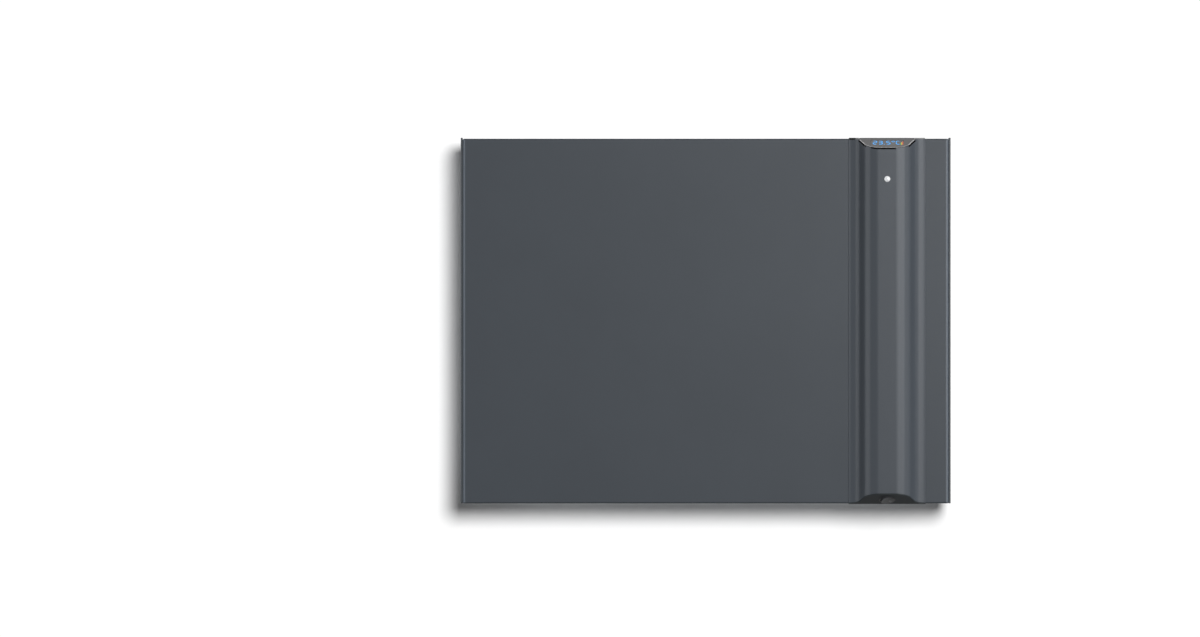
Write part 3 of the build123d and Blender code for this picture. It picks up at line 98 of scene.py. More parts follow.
class HeaterColours(bpy.types.PropertyGroup):
    plate: colour("Plate", "Powder coat of the front plate", (0.0395, 0.0468, 0.0560))
    column: colour("Column", "Moulded control column", (0.0440, 0.0515, 0.0615))
    trim: colour("Side strips", "Moulded strips on the two sides", (0.050, 0.057, 0.064))
    cap: colour("Cap", "Slanted display cap and its deck", (0.130, 0.130, 0.133))
    # painted highlight: a pale edge colour standing in for the light that the cap's edge catches
    cap_rim: colour("Cap rim", "Rubbed edge of the display cap", (0.42, 0.42, 0.425))
    # painted shade: near-black standing in for the shade in the vents and the notch under the cap
    shadow_joint: colour("Joint", "Black lining of the vents under the cap", (0.004, 0.004, 0.004))
    foot: colour("Foot", "Slanted foot of the column", (0.016, 0.021, 0.024))
    black: colour("Black mouldings", "Switch body, inlet and latches", (0.022, 0.022, 0.024))
    rocker: colour("Rocker", "Rocker of the mains switch", (0.032, 0.034, 0.037))
    keys: colour("Keys", "Three keys on the deck", (0.070, 0.070, 0.074))
    signs: colour("Signs", "Printed signs on the keys and the rocker", (0.62, 0.63, 0.65))
    figures: colour("Figures", "Lit figures of the display", (0.075, 0.36, 0.80))
    level_low: colour("Low bar", "Lowest bar of the level mark", (0.12, 0.55, 0.14))
    level_middle: colour("Middle bar", "Middle bar of the level mark", (0.90, 0.60, 0.04))
    level_high: colour("High bar", "Highest bar of the level mark", (0.85, 0.13, 0.05))
    lens: colour("Lens", "Opal indicator lens", (0.66, 0.67, 0.68))
    galvanised: colour("Galvanised sheet", "Rear cover and rails", (0.46, 0.48, 0.50))
    zinc: colour("Zinc plating", "Wall bracket and keepers", (0.52, 0.54, 0.56))
    bright_steel: colour("Bright steel", "Screws, rivets and posts", (0.58, 0.58, 0.60))
    circuit: colour("Solder mask", "Circuit boards", (0.018, 0.13, 0.055))


class HeaterSurface(bpy.types.PropertyGroup):
    coat_grain: length("Coat grain", "Width of one pit in the powder coat", 0.55)
    mould_grain: length("Mould grain", "Width of one grain of the moulded texture", 0.30)
    fold_width: length("Fold width", "Width of the rounded side folds of the plate", 3.2)
    edge_round: length("Edge rounding", "How far from an edge the coat looks worn", 0.35)
    plate_roughness: amount("Plate roughness", "Roughness of the powder coat", 0.50, 1.0)
    column_roughness: amount("Column roughness", "Roughness of the moulded column", 0.48, 1.0)


class HeaterFigures(bpy.types.PropertyGroup):
    reading: StringProperty(
        name="Reading", description="Digits, point, degree ring (*) and unit on the display", default="23.5*C"
    )
    figure_height: length("Figure height", "Height of a lit figure along the slope", 8.6)
    figure_width: length("Figure width", "Width of a lit figure", 4.6)
    figure_gap: length("Figure gap", "Room between one figure and the next", 1.0)
    reading_left: length("Reading's left end", "From the window's middle", 14.6)
    stroke: length("Stroke", "Width of one lit segment", 1.25)
    print_rise: length("Print rise", "How far lit figures and printed signs stand proud", 0.05)
    bar_count: IntProperty(name="Level bars", description="Bars in the level mark", default=3, min=1, max=6)
    bar_width: length("Bar width", "Width of one bar of the level mark", 0.85)
    bar_gap: length("Bar gap", "Room between the bars of the level mark", 0.3)
    level_left: length("Level mark's left end", "From the window's middle", 13.1)


class HeaterJoint(bpy.types.PropertyGroup):
    cap_reach: length("Cap's reach", "From the window's middle to past the cap's side ends", 28.8)
    cap_rise: length("Cap's rise", "How far the lower edge of the cap's rim is lifted", 0.95)
    cover_rise: length("Cover's rise", "How far the column's cut edge under the cap is lifted", 0.84)
    rim_share: amount("Rim share", "Width of the cap's rim, as a share of the width it has in the frame", 0.974, 1.0)
    rim_shift: length("Rim shift", "How far the rim is moved to the left", 0.15)
    # how far the painted highlight on the cap's edge reaches
    rim_depth: length("Rim depth", "How far the bright edge reaches below the cap's slope", 0.33)
    notch_side: length("Notch side", "From the window's middle to the notch at the left of the deck", 32.0)
    # the pad is a near-black piece that paints the shadow in the notch under the deck's left end
    pad_side: length("Pad side", "From the window's middle to the pad's middle", 35.6)
    pad_reach: length("Pad reach", "How far the pad's middle stands before the plate", 1.0)
    pad_drop: length("Pad drop", "From the deck's top to the pad's middle", 1.07)
    pad_width: length("Pad width", "Along the plate", 4.9)
    pad_thickness: length("Pad thickness", "Out of the plate", 1.5)
    pad_height: length("Pad height", "Up the plate", 2.06)
    pad_turn: angle("Pad turn", "Angle of the column's thin edge to the plate", 11.7)
    pad_round: length("Pad rounding", "Rounding of the pad's edges", 0.22)


# name, place in metres, side in metres, watts, gives body light, gives sheen
PANEL_LIGHTS = (
    ("sheen_above", (0.50, -1.3, 0.40), 0.7, 7.2, False, True),
    ("sheen_right", (1.1, -1.3, 0.2), 0.7, 10.3, False, True),
    ("sheen_far_left", (-2.1, -1.2, 0.15), 0.9, 13.0, False, True),
    ("sheen_far_right", (2.2, -0.8, 0.15), 0.8, 3.0, False, True),
    ("side_left", (-2.2, -0.1, 0.15), 0.8, 32.0, True, False),
    ("side_right", (2.2, -0.1, 0.25), 0.8, 32.0, True, False),
    ("rear_left", (-1.2, 1.6, 1.2), 1.4, 22.0, True, True),
    ("rear_right", (1.6, 1.3, 0.4), 1.4, 10.0, True, True),
)


class HeaterStage(bpy.types.PropertyGroup):
    camera_distance: length("Camera distance", "From the plate", 20000)
    view_width: length("View width", "Width of the picture at the plate", 1212.5)
    view_x: length("View centre, sideways", "Picture centre left of the heater's middle", 106.8)
    view_z: length("View centre, height", "Picture centre above the heater's middle", 2.4)
    key_side: angle("Key light, sideways", "Angle to the right of the plate's normal", 12.0)
    key_height: angle("Key light, height", "Angle above the plate's normal", 14.3)
    key_width: angle("Key light, width", "Angle that the key light covers", 21.0)
    key_strength: amount("Key strength", "Strength of the key light", 3.2)
    front_glow: amount("Front glow", "Soft light from the room in front", 0.115)
    rear_glow: amount("Rear glow", "Soft light from behind, for the other views", 0.60)
    wall_shade: amount("Wall", "Paleness of the wall", 0.97, 1.0)


# ---------------- materials
class Finish:
    """A node material built up from shades, grains and worn edges, all on Object coordinates."""

    def __init__(self, name, roughness, metallic=0.0, **sockets):
        self.material = bpy.data.materials.new(name)
        self.material.use_nodes = True
        self.tree = self.material.node_tree
        self.shader = self.tree.nodes["Principled BSDF"]
        self.shader.inputs["Metallic"].default_value = metallic
        self.shader.inputs["Roughness"].default_value = roughness
        for socket, value in sockets.items():
            self.shader.inputs[socket.replace("_", " ")].default_value = value
        self.coordinates = self.add("ShaderNodeTexCoord").outputs["Object"]
        self.normal = None

    def add(self, kind, **settings):
        node = self.tree.nodes.new(kind)
        for key, value in settings.items():
            setattr(node, key, value)
        return node

    def link(self, output, socket):
        self.tree.links.new(output, socket)

    def place(self, stretch):
        """Object coordinates, drawn out along an axis where stretch is under one."""
        if stretch is None:
            return self.coordinates
        mapping = self.add("ShaderNodeMapping")
        mapping.inputs["Scale"].default_value = stretch
        self.link(self.coordinates, mapping.inputs["Vector"])
        return mapping.outputs["Vector"]

    def noise(self, width, detail=3.0, stretch=None, roughness=0.55):
        node = self.add("ShaderNodeTexNoise")
        node.inputs["Scale"].default_value = 1.0 / width
        node.inputs["Detail"].default_value = detail
        node.inputs["Roughness"].default_value = roughness
        self.link(self.place(stretch), node.inputs["Vector"])
        return node.outputs["Fac"]

    def cells(self, width, output="Color"):
        node = self.add("ShaderNodeTexVoronoi")
        node.inputs["Scale"].default_value = 1.0 / width
        self.link(self.coordinates, node.inputs["Vector"])
        return node.outputs[output]

    def span(self, value, low, high, new_low=0.0, new_high=1.0):
        node = self.add("ShaderNodeMapRange")
        set_span(node, low, high, new_low, new_high)
        self.link(value, node.inputs["Value"])
        return node.outputs["Result"]

    def mix(self, share, first, second):
        """Two colours or colour outputs, mixed by share."""
        node = self.add("ShaderNodeMix", data_type="RGBA")
        self.link(share, node.inputs["Factor"])
        for socket, value in ((node.inputs[6], first), (node.inputs[7], second)):
            if isinstance(value, bpy.types.NodeSocket):
                self.link(value, socket)
            else:
                socket.default_value = (*value, 1.0)
        return node.outputs[2]

    def bump(self, height, depth, strength):
        node = self.add("ShaderNodeBump")
        node.inputs["Strength"].default_value = strength
        node.inputs["Distance"].default_value = depth
        self.link(height, node.inputs["Height"])
        if self.normal is not None:
            self.link(self.normal, node.inputs["Normal"])
        self.normal = node.outputs["Normal"]
        self.link(self.normal, self.shader.inputs["Normal"])

    def worn_edge(self, radius):
        """One along a corner and nought on a flat."""
        bevel = self.add("ShaderNodeBevel", samples=6)
        bevel.inputs["Radius"].default_value = radius
        geometry = self.add("ShaderNodeNewGeometry")
        dot = self.add("ShaderNodeVectorMath", operation="DOT_PRODUCT")
        self.link(bevel.outputs["Normal"], dot.inputs[0])
        self.link(geometry.outputs["Normal"], dot.inputs[1])
        return self.span(dot.outputs["Value"], 0.995, 0.80)

    def tones(self, value, low, high, base, at_low, at_high):
        """The base colour, shaded by at_low or at_high as value runs from low to high."""
        return self.mix(self.span(value, low, high), shade(base, at_low), shade(base, at_high))

    def colour(self, output):
        self.link(output, self.shader.inputs["Base Color"])

    def roughness(self, value, low, high, smooth, rough):
        self.link(self.span(value, low, high, smooth, rough), self.shader.inputs["Roughness"])

    def glow(self, output, strength):
        self.link(output, self.shader.inputs["Emission Color"])
        self.shader.inputs["Emission Strength"].default_value = strength


def set_span(node, *numbers):
    """Sets what a range node maps from and to."""
    for socket, number in zip(("From Min", "From Max", "To Min", "To Max"), numbers):
        node.inputs[socket].default_value = number


def shade(base, factor):
    return tuple(min(1.0, value * factor) for value in base)


# painted highlight bands: start and end in mm outwards from the plate's side fold, and how much lighter the coat is
# painted there, standing in for the light that the side folds catch
FOLD_BANDS = ((0.0, 1.0, 1.9), (1.3, 2.4, 3.3))


def powder_coat(base):
    """Baked powder coat: pitted like fine orange peel, with a painted highlight that makes it lighter over the side
    folds.
    """
    surface = bpy.context.scene.heater_surface
    roughness = surface.plate_roughness
    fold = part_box("front_panel")[1].x - surface.fold_width
    finish = Finish("plate_coat", roughness)
    cloud = finish.noise(90 * MM, 4.0)
    body = finish.tones(cloud, 0.3, 0.7, base, 0.965, 1.035)
    split = finish.add("ShaderNodeSeparateXYZ")
    finish.link(finish.coordinates, split.inputs["Vector"])
    sideways = finish.add("ShaderNodeMath", operation="ABSOLUTE")
    finish.link(split.outputs["X"], sideways.inputs[0])
    # painted highlight: the side folds are painted lighter where they would catch the side light
    for start, end, factor in FOLD_BANDS:
        thinned = finish.span(sideways.outputs["Value"], fold + start * MM, fold + end * MM)
        body = finish.mix(thinned, body, shade(base, factor))
    finish.colour(finish.mix(finish.worn_edge(surface.edge_round), body, shade(base, 1.5)))
    pits = finish.noise(surface.coat_grain, 2.0)
    finish.roughness(pits, 0.25, 0.75, roughness - 0.05, roughness + 0.05)
    finish.bump(finish.noise(6 * MM, 2.0), 0.02 * MM, 0.5)
    finish.bump(pits, 0.012 * MM, 0.6)
    return finish.material


def moulded(name, base, roughness, stretch=None, **sockets):
    """Moulded plastic: spark-eroded grain, faint flow marks, and edges rubbed lighter."""
    surface = bpy.context.scene.heater_surface
    finish = Finish(name, roughness, **sockets)
    flow = finish.noise(40 * MM, 3.0, stretch)
    body = finish.tones(flow, 0.3, 0.7, base, 0.96, 1.04)
    finish.colour(finish.mix(finish.worn_edge(surface.edge_round), body, shade(base, 1.35)))
    pores = finish.noise(surface.mould_grain, 2.0)
    finish.roughness(pores, 0.25, 0.75, roughness - 0.06, roughness + 0.06)
    finish.bump(pores, 0.010 * MM, 0.6)
    return finish.material


def galvanised(name, base):
    """Hot-dip galvanised sheet: zinc crystals of different tone, and faint rolling lines."""
    finish = Finish(name, 0.42, metallic=0.85)
    crystals = finish.add("ShaderNodeSeparateColor")
    finish.link(finish.cells(9 * MM), crystals.inputs["Color"])
    body = finish.tones(crystals.outputs["Red"], 0.0, 1.0, base, 0.86, 1.10)
    dust = finish.span(finish.noise(120 * MM, 4.0), 0.55, 0.75, 0.0, 0.25)
    finish.colour(finish.mix(dust, body, shade(base, 0.72)))
    finish.roughness(crystals.outputs["Green"], 0.0, 1.0, 0.34, 0.52)
    finish.bump(finish.noise(30 * MM, 3.0), 0.06 * MM, 0.4)
    finish.bump(finish.noise(0.8 * MM, 2.0, (0.06, 1.0, 1.0)), 0.004 * MM, 0.5)
    return finish.material


def zinc_plated(name, base):
    """Bright zinc over pickled sheet: a soft blue-yellow cloud and fine scratches along the rolling."""
    finish = Finish(name, 0.36, metallic=0.9)
    cloud = finish.span(finish.noise(25 * MM, 4.0), 0.35, 0.65)
    bluish = (base[0] * 0.93, base[1] * 0.98, base[2] * 1.05)
    straw = (base[0] * 1.05, base[1] * 1.02, base[2] * 0.94)
    finish.colour(finish.mix(cloud, bluish, straw))
    scratches = finish.noise(0.5 * MM, 2.0, (1.0, 1.0, 0.05))
    finish.roughness(scratches, 0.3, 0.7, 0.28, 0.44)
    finish.bump(scratches, 0.006 * MM, 0.5)
    return finish.material


def turned_steel(name, base):
    """Small turned or headed steel pieces, with fine rings of tool marks round their axis."""
    finish = Finish(name, 0.30, metallic=1.0)
    finish.colour(finish.tones(finish.noise(2.5 * MM, 3.0), 0.3, 0.7, base, 0.88, 1.08))
    marks = finish.noise(0.25 * MM, 2.0, (0.4, 1.0, 0.4))
    finish.roughness(marks, 0.3, 0.7, 0.22, 0.40)
    finish.bump(marks, 0.005 * MM, 0.5)
    return finish.material


def flat_film(name, base, roughness):
    """Insulating film: clear amber with a slow ripple from the press."""
    finish = Finish(name, roughness)
    ripple = finish.noise(14 * MM, 3.0)
    finish.colour(finish.tones(ripple, 0.35, 0.65, base, 0.85, 1.1))
    finish.roughness(ripple, 0.35, 0.65, roughness - 0.07, roughness + 0.07)
    finish.bump(ripple, 0.08 * MM, 0.5)
    return finish.material


def crumpled_foil(name, base, roughness, crease):
    """Thin metal foil with soft creases."""
    finish = Finish(name, roughness, metallic=1.0)
    creases = finish.cells(crease, "Distance")
    finish.colour(finish.tones(creases, 0.0, 0.8, base, 0.82, 1.05))
    finish.roughness(finish.noise(3 * MM), 0.3, 0.7, roughness - 0.06, roughness + 0.1)
    finish.bump(creases, 0.15 * MM, 0.6)
    return finish.material


def pressed_fibre(name, base):
    """Pressed mineral fibre: matted strands with darker flecks."""
    finish = Finish(name, 0.92)
    strands = finish.noise(1.2 * MM, 5.0, (1.0, 1.0, 0.35), 0.7)
    flecks = finish.span(finish.cells(3.5 * MM, "Distance"), 0.0, 0.25)
    body = finish.tones(strands, 0.3, 0.7, base, 0.78, 1.08)
    finish.colour(finish.mix(flecks, shade(base, 0.60), body))
    finish.roughness(strands, 0.3, 0.7, 0.85, 1.0)
    finish.bump(strands, 0.25 * MM, 0.8)
    return finish.material


def circuit_board(name, base):
    """Green solder mask over copper runs, with the weave of the board beneath."""
    finish = Finish(name, 0.34)
    bricks = finish.add("ShaderNodeTexBrick", offset=0.5)
    for socket, value in (("Scale", 1.0), ("Mortar Size", 0.35 * MM), ("Brick Width", 9 * MM), ("Row Height", 3 * MM)):
        bricks.inputs[socket].default_value = value
    turned = finish.add("ShaderNodeMapping")
    turned.inputs["Rotation"].default_value = UPRIGHT
    finish.link(finish.coordinates, turned.inputs["Vector"])
    finish.link(turned.outputs["Vector"], bricks.inputs["Vector"])
    runs = bricks.outputs["Fac"]
    finish.colour(finish.mix(runs, base, shade(base, 1.8)))
    weave = finish.noise(0.4 * MM, 2.0)
    finish.roughness(weave, 0.3, 0.7, 0.28, 0.42)
    finish.bump(runs, 0.03 * MM, 0.6)
    finish.bump(weave, 0.01 * MM, 0.4)
    return finish.material


def insulated(name, base):
    """Silicone lead insulation: a soft bloom and slight lengthwise unevenness."""
    finish = Finish(name, 0.55)
    bloom = finish.span(finish.noise(4 * MM, 3.0), 0.35, 0.7)
    finish.colour(finish.mix(bloom, base, tuple(value + 0.06 for value in base)))
    finish.roughness(finish.noise(1.5 * MM), 0.3, 0.7, 0.48, 0.64)
    finish.bump(finish.noise(1.1 * MM), 0.02 * MM, 0.5)
    return finish.material


def moulded_rubber(name, base):
    """Matt moulded rubber with a dusty bloom."""
    finish = Finish(name, 0.82)
    bloom = finish.span(finish.noise(5 * MM, 4.0), 0.45, 0.8)
    finish.colour(finish.mix(bloom, base, tuple(value + 0.03 for value in base)))
    grain = finish.noise(0.35 * MM, 2.0)
    finish.roughness(grain, 0.3, 0.7, 0.74, 0.92)
    finish.bump(grain, 0.02 * MM, 0.6)
    return finish.material


def opal(name, base, glow):
    """Opal plastic lit softly from behind, with a faint milky cloud."""
    finish = Finish(name, 0.22, Coat_Weight=0.3)
    milk = finish.noise(1.6 * MM, 2.0)
    body = finish.tones(milk, 0.3, 0.7, base, 0.95, 1.03)
    finish.colour(body)
    finish.glow(body, glow)
    finish.roughness(milk, 0.3, 0.7, 0.18, 0.28)
    finish.bump(milk, 0.004 * MM, 0.4)
    return finish.material


def lit_figure(name, base, glow):
    """A lit display segment: rows of small cells, brighter at each cell's middle."""
    finish = Finish(name, 0.35)
    cells = finish.cells(0.42 * MM, "Distance")
    body = finish.tones(cells, 0.0, 0.6, base, 1.25, 0.75)
    finish.colour(body)
    finish.glow(body, glow)
    finish.roughness(finish.noise(0.5 * MM), 0.3, 0.7, 0.3, 0.42)
    return finish.material


def printed(name, base):
    """Pad-printed ink: slightly uneven cover over the moulded grain."""
    finish = Finish(name, 0.5)
    cover = finish.noise(0.35 * MM, 3.0)
    finish.colour(finish.mix(finish.span(cover, 0.3, 0.6), shade(base, 0.8), base))
    finish.roughness(cover, 0.3, 0.7, 0.42, 0.6)
    finish.bump(cover, 0.008 * MM, 0.5)
    return finish.material


def clear_glass(name):
    """Clear, slightly smeared glass of the fuse's tube."""
    finish = Finish(name, 0.06, Transmission_Weight=0.85, IOR=1.46)
    smear = finish.noise(2.0 * MM, 3.0)
    finish.colour(finish.mix(finish.span(smear, 0.3, 0.7), (0.80, 0.84, 0.84), (0.92, 0.95, 0.95)))
    finish.roughness(smear, 0.3, 0.7, 0.03, 0.14)
    return finish.material


def fresh_nodes(tree, *kinds):
    """Empties a node tree and adds one node of each kind."""
    tree.nodes.clear()
    return [tree.nodes.new("ShaderNode" + kind) for kind in kinds]


def dress(material, *names):
    """Gives CAD nodes their material."""
    for name in names:
        slots = NODES[name].data.materials
        slots.clear()
        slots.append(material)


# ---------------- modelling helpers
def add_object(name, data):
    added = bpy.data.objects.new(name, data)
    bpy.context.scene.collection.objects.link(added)
    return added


def apply_place():
    bpy.ops.object.transform_apply(location=True, rotation=True, scale=True)


def clear_selection():
    if bpy.context.object and bpy.context.object.mode != "OBJECT":
        bpy.ops.object.mode_set(mode="OBJECT")
    bpy.ops.object.select_all(action="DESELECT")


def make_active(piece):
    clear_selection()
    piece.select_set(True)
    bpy.context.view_layer.objects.active = piece


def pick_faces(piece, test):
    """Selects the faces that pass the test on (centre, normal), and leaves the piece in edit mode."""
    bpy.ops.object.mode_set(mode="EDIT")
    bpy.ops.mesh.select_mode(type="FACE")
    bpy.ops.mesh.select_all(action="DESELECT")
    bpy.ops.object.mode_set(mode="OBJECT")
    for face in piece.data.polygons:
        face.select = test(face.center, face.normal)
    bpy.ops.object.mode_set(mode="EDIT")


def new_piece(name):
    """Names the primitive that was just added, and applies its place."""
    piece = bpy.context.object
    piece.name = piece.data.name = name
    apply_place()
    return piece


def bar(name, size, centre=(0, 0, 0)):
    """A primitive block at its size and place, still to be shaped."""
    clear_selection()
    bpy.ops.mesh.primitive_cube_add(size=1.0, location=centre)
    bpy.context.object.scale = size
    return new_piece(name)


def ring(name, centre, radius, half_stroke, rise):
    """A flat ring lying across Z."""
    clear_selection()
    bpy.ops.mesh.primitive_cylinder_add(vertices=48, radius=radius + half_stroke, depth=rise, location=centre)
    piece = new_piece(name)
    pick_faces(piece, lambda middle, normal: abs(normal.z) > 0.9)
    bpy.ops.mesh.inset(thickness=2 * half_stroke)
    bpy.ops.mesh.bridge_edge_loops()
    clear_selection()
    return piece


def join(name, pieces):
    """Joins pieces into the first, under one name."""
    clear_selection()
    for piece in pieces:
        piece.select_set(True)
    bpy.context.view_layer.objects.active = pieces[0]
    if len(pieces) > 1:
        bpy.ops.object.join()
    pieces[0].name = pieces[0].data.name = name
    return pieces[0]


def duplicate(piece, name, shift, turn=0.0):
    """A copy with its own mesh, turned about Z and shifted, its place applied."""
    copy = piece.copy()
    copy.data = piece.data.copy()
    copy.name = name
    bpy.context.scene.collection.objects.link(copy)
    make_active(copy)
    copy.matrix_world = Matrix.Translation(shift) @ Matrix.Rotation(turn, 4, "Z")
    apply_place()
    return copy


def lay_on(piece, plane):
    """Moves a piece made on the XY plane to a plane in the heater's frame, its place applied."""
    make_active(piece)
    piece.matrix_world = plane
    apply_place()


def complete(piece, material, body):
    piece.data.materials.clear()
    piece.data.materials.append(material)
    make_active(piece)
    bpy.ops.object.shade_smooth_by_angle(angle=math.radians(35))
    clear_selection()
    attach(piece, body)


def plane_matrix(origin, across, outwards):
    """X along across, Z outwards, at origin."""
    z = outwards.normalized()
    x = (across - z * across.dot(z)).normalized()
    y = z.cross(x)
    turn = Matrix((x, y, z)).transposed().to_4x4()
    return Matrix.Translation(origin) @ turn


def flat_side(node, direction):
    """(centre, normal) of the largest flat side of a CAD node that faces roughly along direction."""
    direction = Vector(direction).normalized()
    facing = [face for face in NODES[node].data.polygons if face.normal.dot(direction) > 0.7]
    largest = max(facing, key=lambda face: face.area)
    level = largest.center.dot(largest.normal)
    same = [
        face
        for face in facing
        if face.normal.dot(largest.normal) > 0.999 and abs(face.center.dot(largest.normal) - level) < 0.05 * MM
    ]
    area = sum(face.area for face in same)
    centre = sum((face.center * face.area for face in same), Vector()) / area
    return centre, largest.normal.copy()


# ---------------- operators
class HEATER_OT_casing(bpy.types.Operator):
    """Coats the front plate, the side strips, the rear cover and its screws"""

    bl_idname = "heater.casing"
    bl_label = "Casing"

    def execute(self, context):
        colours = context.scene.heater_colours
        dress(powder_coat(colours.plate), "front_panel")
        dress(moulded("side_strip", colours.trim, 0.5), "side_trim_left", "side_trim_right")
        dress(galvanised("rear_sheet", colours.galvanised), "rear_cover", "board_rail_upper", "board_rail_lower")
        dress(turned_steel("bright_screw", colours.bright_steel), "rear_screws", "panel_posts", "column_screws")
        return {"FINISHED"}


class HEATER_OT_column(bpy.types.Operator):
    """Finishes the control column, its cap, foot, lens, window, switch and keys"""

    bl_idname = "heater.column"
    bl_label = "Control column"

    def execute(self, context):
        colours, drawn = context.scene.heater_colours, (1.0, 1.0, 0.15)
        roughness = context.scene.heater_surface.column_roughness
        dress(moulded("column_plastic", colours.column, roughness, drawn), "column_cover")
        dress(moulded("cap_plastic", colours.cap, 0.48), "display_cap")
        dress(moulded("foot_plastic", colours.foot, 0.55, Specular_IOR_Level=0.3), "bottom_cap")
        dress(moulded("window_plastic", shade(colours.cap, 0.92), 0.22, Coat_Weight=0.4), "display_window")
        dress(opal("opal_lens", colours.lens, glow=0.06), "indicator_lens", "indicator_led")
        dress(moulded("black_plastic", colours.black, 0.42), "rocker_switch_body")
        dress(moulded("rocker_plastic", colours.rocker, 0.36), "power_rocker")
        dress(moulded("key_plastic", colours.keys, 0.46), "key_minus", "key_mode", "key_plus")
        return {"FINISHED"}


class HEATER_OT_skins(bpy.types.Operator):
    """Stands smooth-shaded skins in for the plate, the side strips, the column and its two ends"""

    bl_idname = "heater.skins"
    bl_label = "Smooth skins"

    def execute(self, context):
        for name in ("front_panel", "side_trim_left", "side_trim_right", "column_cover", "display_cap", "bottom_cap"):
            node = NODES[name]
            skin = add_object(name + "_skin", node.data.copy())
            skin.data.name = skin.name
            make_active(skin)
            bpy.ops.object.mode_set(mode="EDIT")
            bpy.ops.mesh.customdata_custom_splitnormals_clear()
            bpy.ops.mesh.select_all(action="SELECT")
            bpy.ops.mesh.remove_doubles(threshold=0.001 * MM)
            bpy.ops.object.mode_set(mode="OBJECT")
            complete(skin, node.data.materials[0], "root")
            make_active(skin)
            even = skin.modifiers.new("even_flats", "WEIGHTED_NORMAL")
            even.weight = 100
            even.keep_sharp = True
            bpy.ops.object.modifier_apply(modifier=even.name)
            clear_selection()
            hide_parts(name)
        self.finish_cap(context.scene.heater_colours, context.scene.heater_joint)
        return {"FINISHED"}

    def finish_cap(self, colours, joint):
        """Paints the vents and the notch under the cap black as painted shade, and paints a highlight on the cap's
        edge.
        """
        window, outwards = flat_side("display_window", (0, -1, 1))
        middle = window.x
        before_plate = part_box("front_panel")[0].y - 0.1 * MM
        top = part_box("display_cap")[1].z
        # painted shade: black faces in the vents and the notch under the cap stand in for the shade there
        black = moulded("vent_lining", colours.shadow_joint, 0.9, Specular_IOR_Level=0.05)
        # painted highlight: a pale material on the cap's edge stands in for the light it catches
        bright = moulded("cap_rim", colours.cap_rim, 0.35)

        def depth(point):
            return (window - point).dot(outwards) + 0.15 * MM

        def under_cap(point):
            return abs(point.x - middle) < joint.cap_reach

        def in_notch(point):
            return point.x < middle - joint.notch_side and top - 2 * MM < point.z < top - 0.1 * MM

        # the cap's faces under its edge and in the notch that get the painted shade
        def lining(point, normal):
            if in_notch(point):
                return point.y < before_plate + 0.3 * MM and normal.x > -0.5
            below_rim = point.y < before_plate and joint.rim_depth + 0.01 * MM < depth(point) < 9 * MM
            return below_rim and normal.dot(outwards) < 0.2 and under_cap(point)

        # the cap's edge faces that get the painted highlight
        def rim(point, normal):
            near = depth(point) < joint.rim_depth and point.y < before_plate
            return near and normal.dot(outwards) < 0.97 and under_cap(point)

        # the cover's cut faces under the cap and the notch floor that get the painted shade
        def cut(point, normal):
            if in_notch(point):
                return normal.z > 0.9
            return 0.5 * MM < depth(point) < 2.2 * MM and normal.dot(outwards) > 0.9

        cap, cover = bpy.data.objects["display_cap_skin"], bpy.data.objects["column_cover_skin"]
        for piece, low, high, rise in ((cap, 1.1, 1.3, joint.cap_rise), (cover, 1.3, 2.6, joint.cover_rise)):
            for corner in piece.data.vertices:
                if low * MM < depth(corner.co) < high * MM and corner.co.y < before_plate:
                    corner.co.z += rise
        self.draw_in_rim(cap, joint, middle, lambda point: depth(point) < 0.6 * MM and point.y < before_plate)
        # black painted shade on the vent and notch faces, pale painted highlight on the cap's edge
        self.coat_faces(cap, black, lining)
        self.coat_faces(cap, bright, rim)
        self.coat_faces(cover, black, cut)

    def draw_in_rim(self, cap, joint, middle, at_rim):
        """Narrows the cap's rim beside and below the display window."""
        low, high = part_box("display_window")
        half_window = (high.x - low.x) / 2 + 0.8 * MM
        for corner in cap.data.vertices:
            off = corner.co.x - middle
            beside_window = corner.co.z < low.z - 0.6 * MM or abs(off) > half_window
            if at_rim(corner.co) and beside_window and abs(off) < joint.cap_reach + 0.7 * MM:
                corner.co.x = middle + off * joint.rim_share - joint.rim_shift

    def coat_faces(self, piece, material, test):
        piece.data.materials.append(material)
        slot = len(piece.data.materials) - 1
        for face in piece.data.polygons:
            if test(face.center, face.normal):
                face.material_index = slot


class HEATER_OT_electrics(bpy.types.Operator):
    """Finishes the boards, the parts on them, the terminals, the inlet and the leads"""

    bl_idname = "heater.electrics"
    bl_label = "Electrics"

    def execute(self, context):
        colours = context.scene.heater_colours
        black = moulded("housing_plastic", colours.black, 0.5)
        white = moulded("terminal_plastic", (0.72, 0.71, 0.67), 0.55)
        dress(black, "column_carrier", "cable_gland", "gland_nut", "power_module")
        dress(white, "terminal_block", "board_connector", "thermal_cutout_upper", "thermal_cutout_lower")
        dress(circuit_board("solder_mask", colours.circuit), "control_board", "key_board")
        dress(moulded("relay_case", (0.045, 0.10, 0.30), 0.4), "relay")
        dress(crumpled_foil("capacitor_can", (0.70, 0.71, 0.73), 0.3, 6 * MM), "capacitor")
        dress(clear_glass("fuse_glass"), "fuse")
        dress(flat_film("display_glass", (0.03, 0.035, 0.04), 0.2), "display_module")
        dress(turned_steel("board_screw", colours.bright_steel), "board_screws", "terminal_screws")
        dress(turned_steel("brass", (0.72, 0.52, 0.20)), "terminal_tubes", "film_terminals")
        brown = insulated("lead_brown", (0.12, 0.045, 0.02))
        dress(brown, "lead_live", "lead_link", "lead_element", "lead_switch")
        dress(insulated("lead_blue", (0.02, 0.08, 0.30)), "lead_neutral")
        dress(insulated("lead_white", (0.70, 0.70, 0.67)), "lead_board")
        return {"FINISHED"}


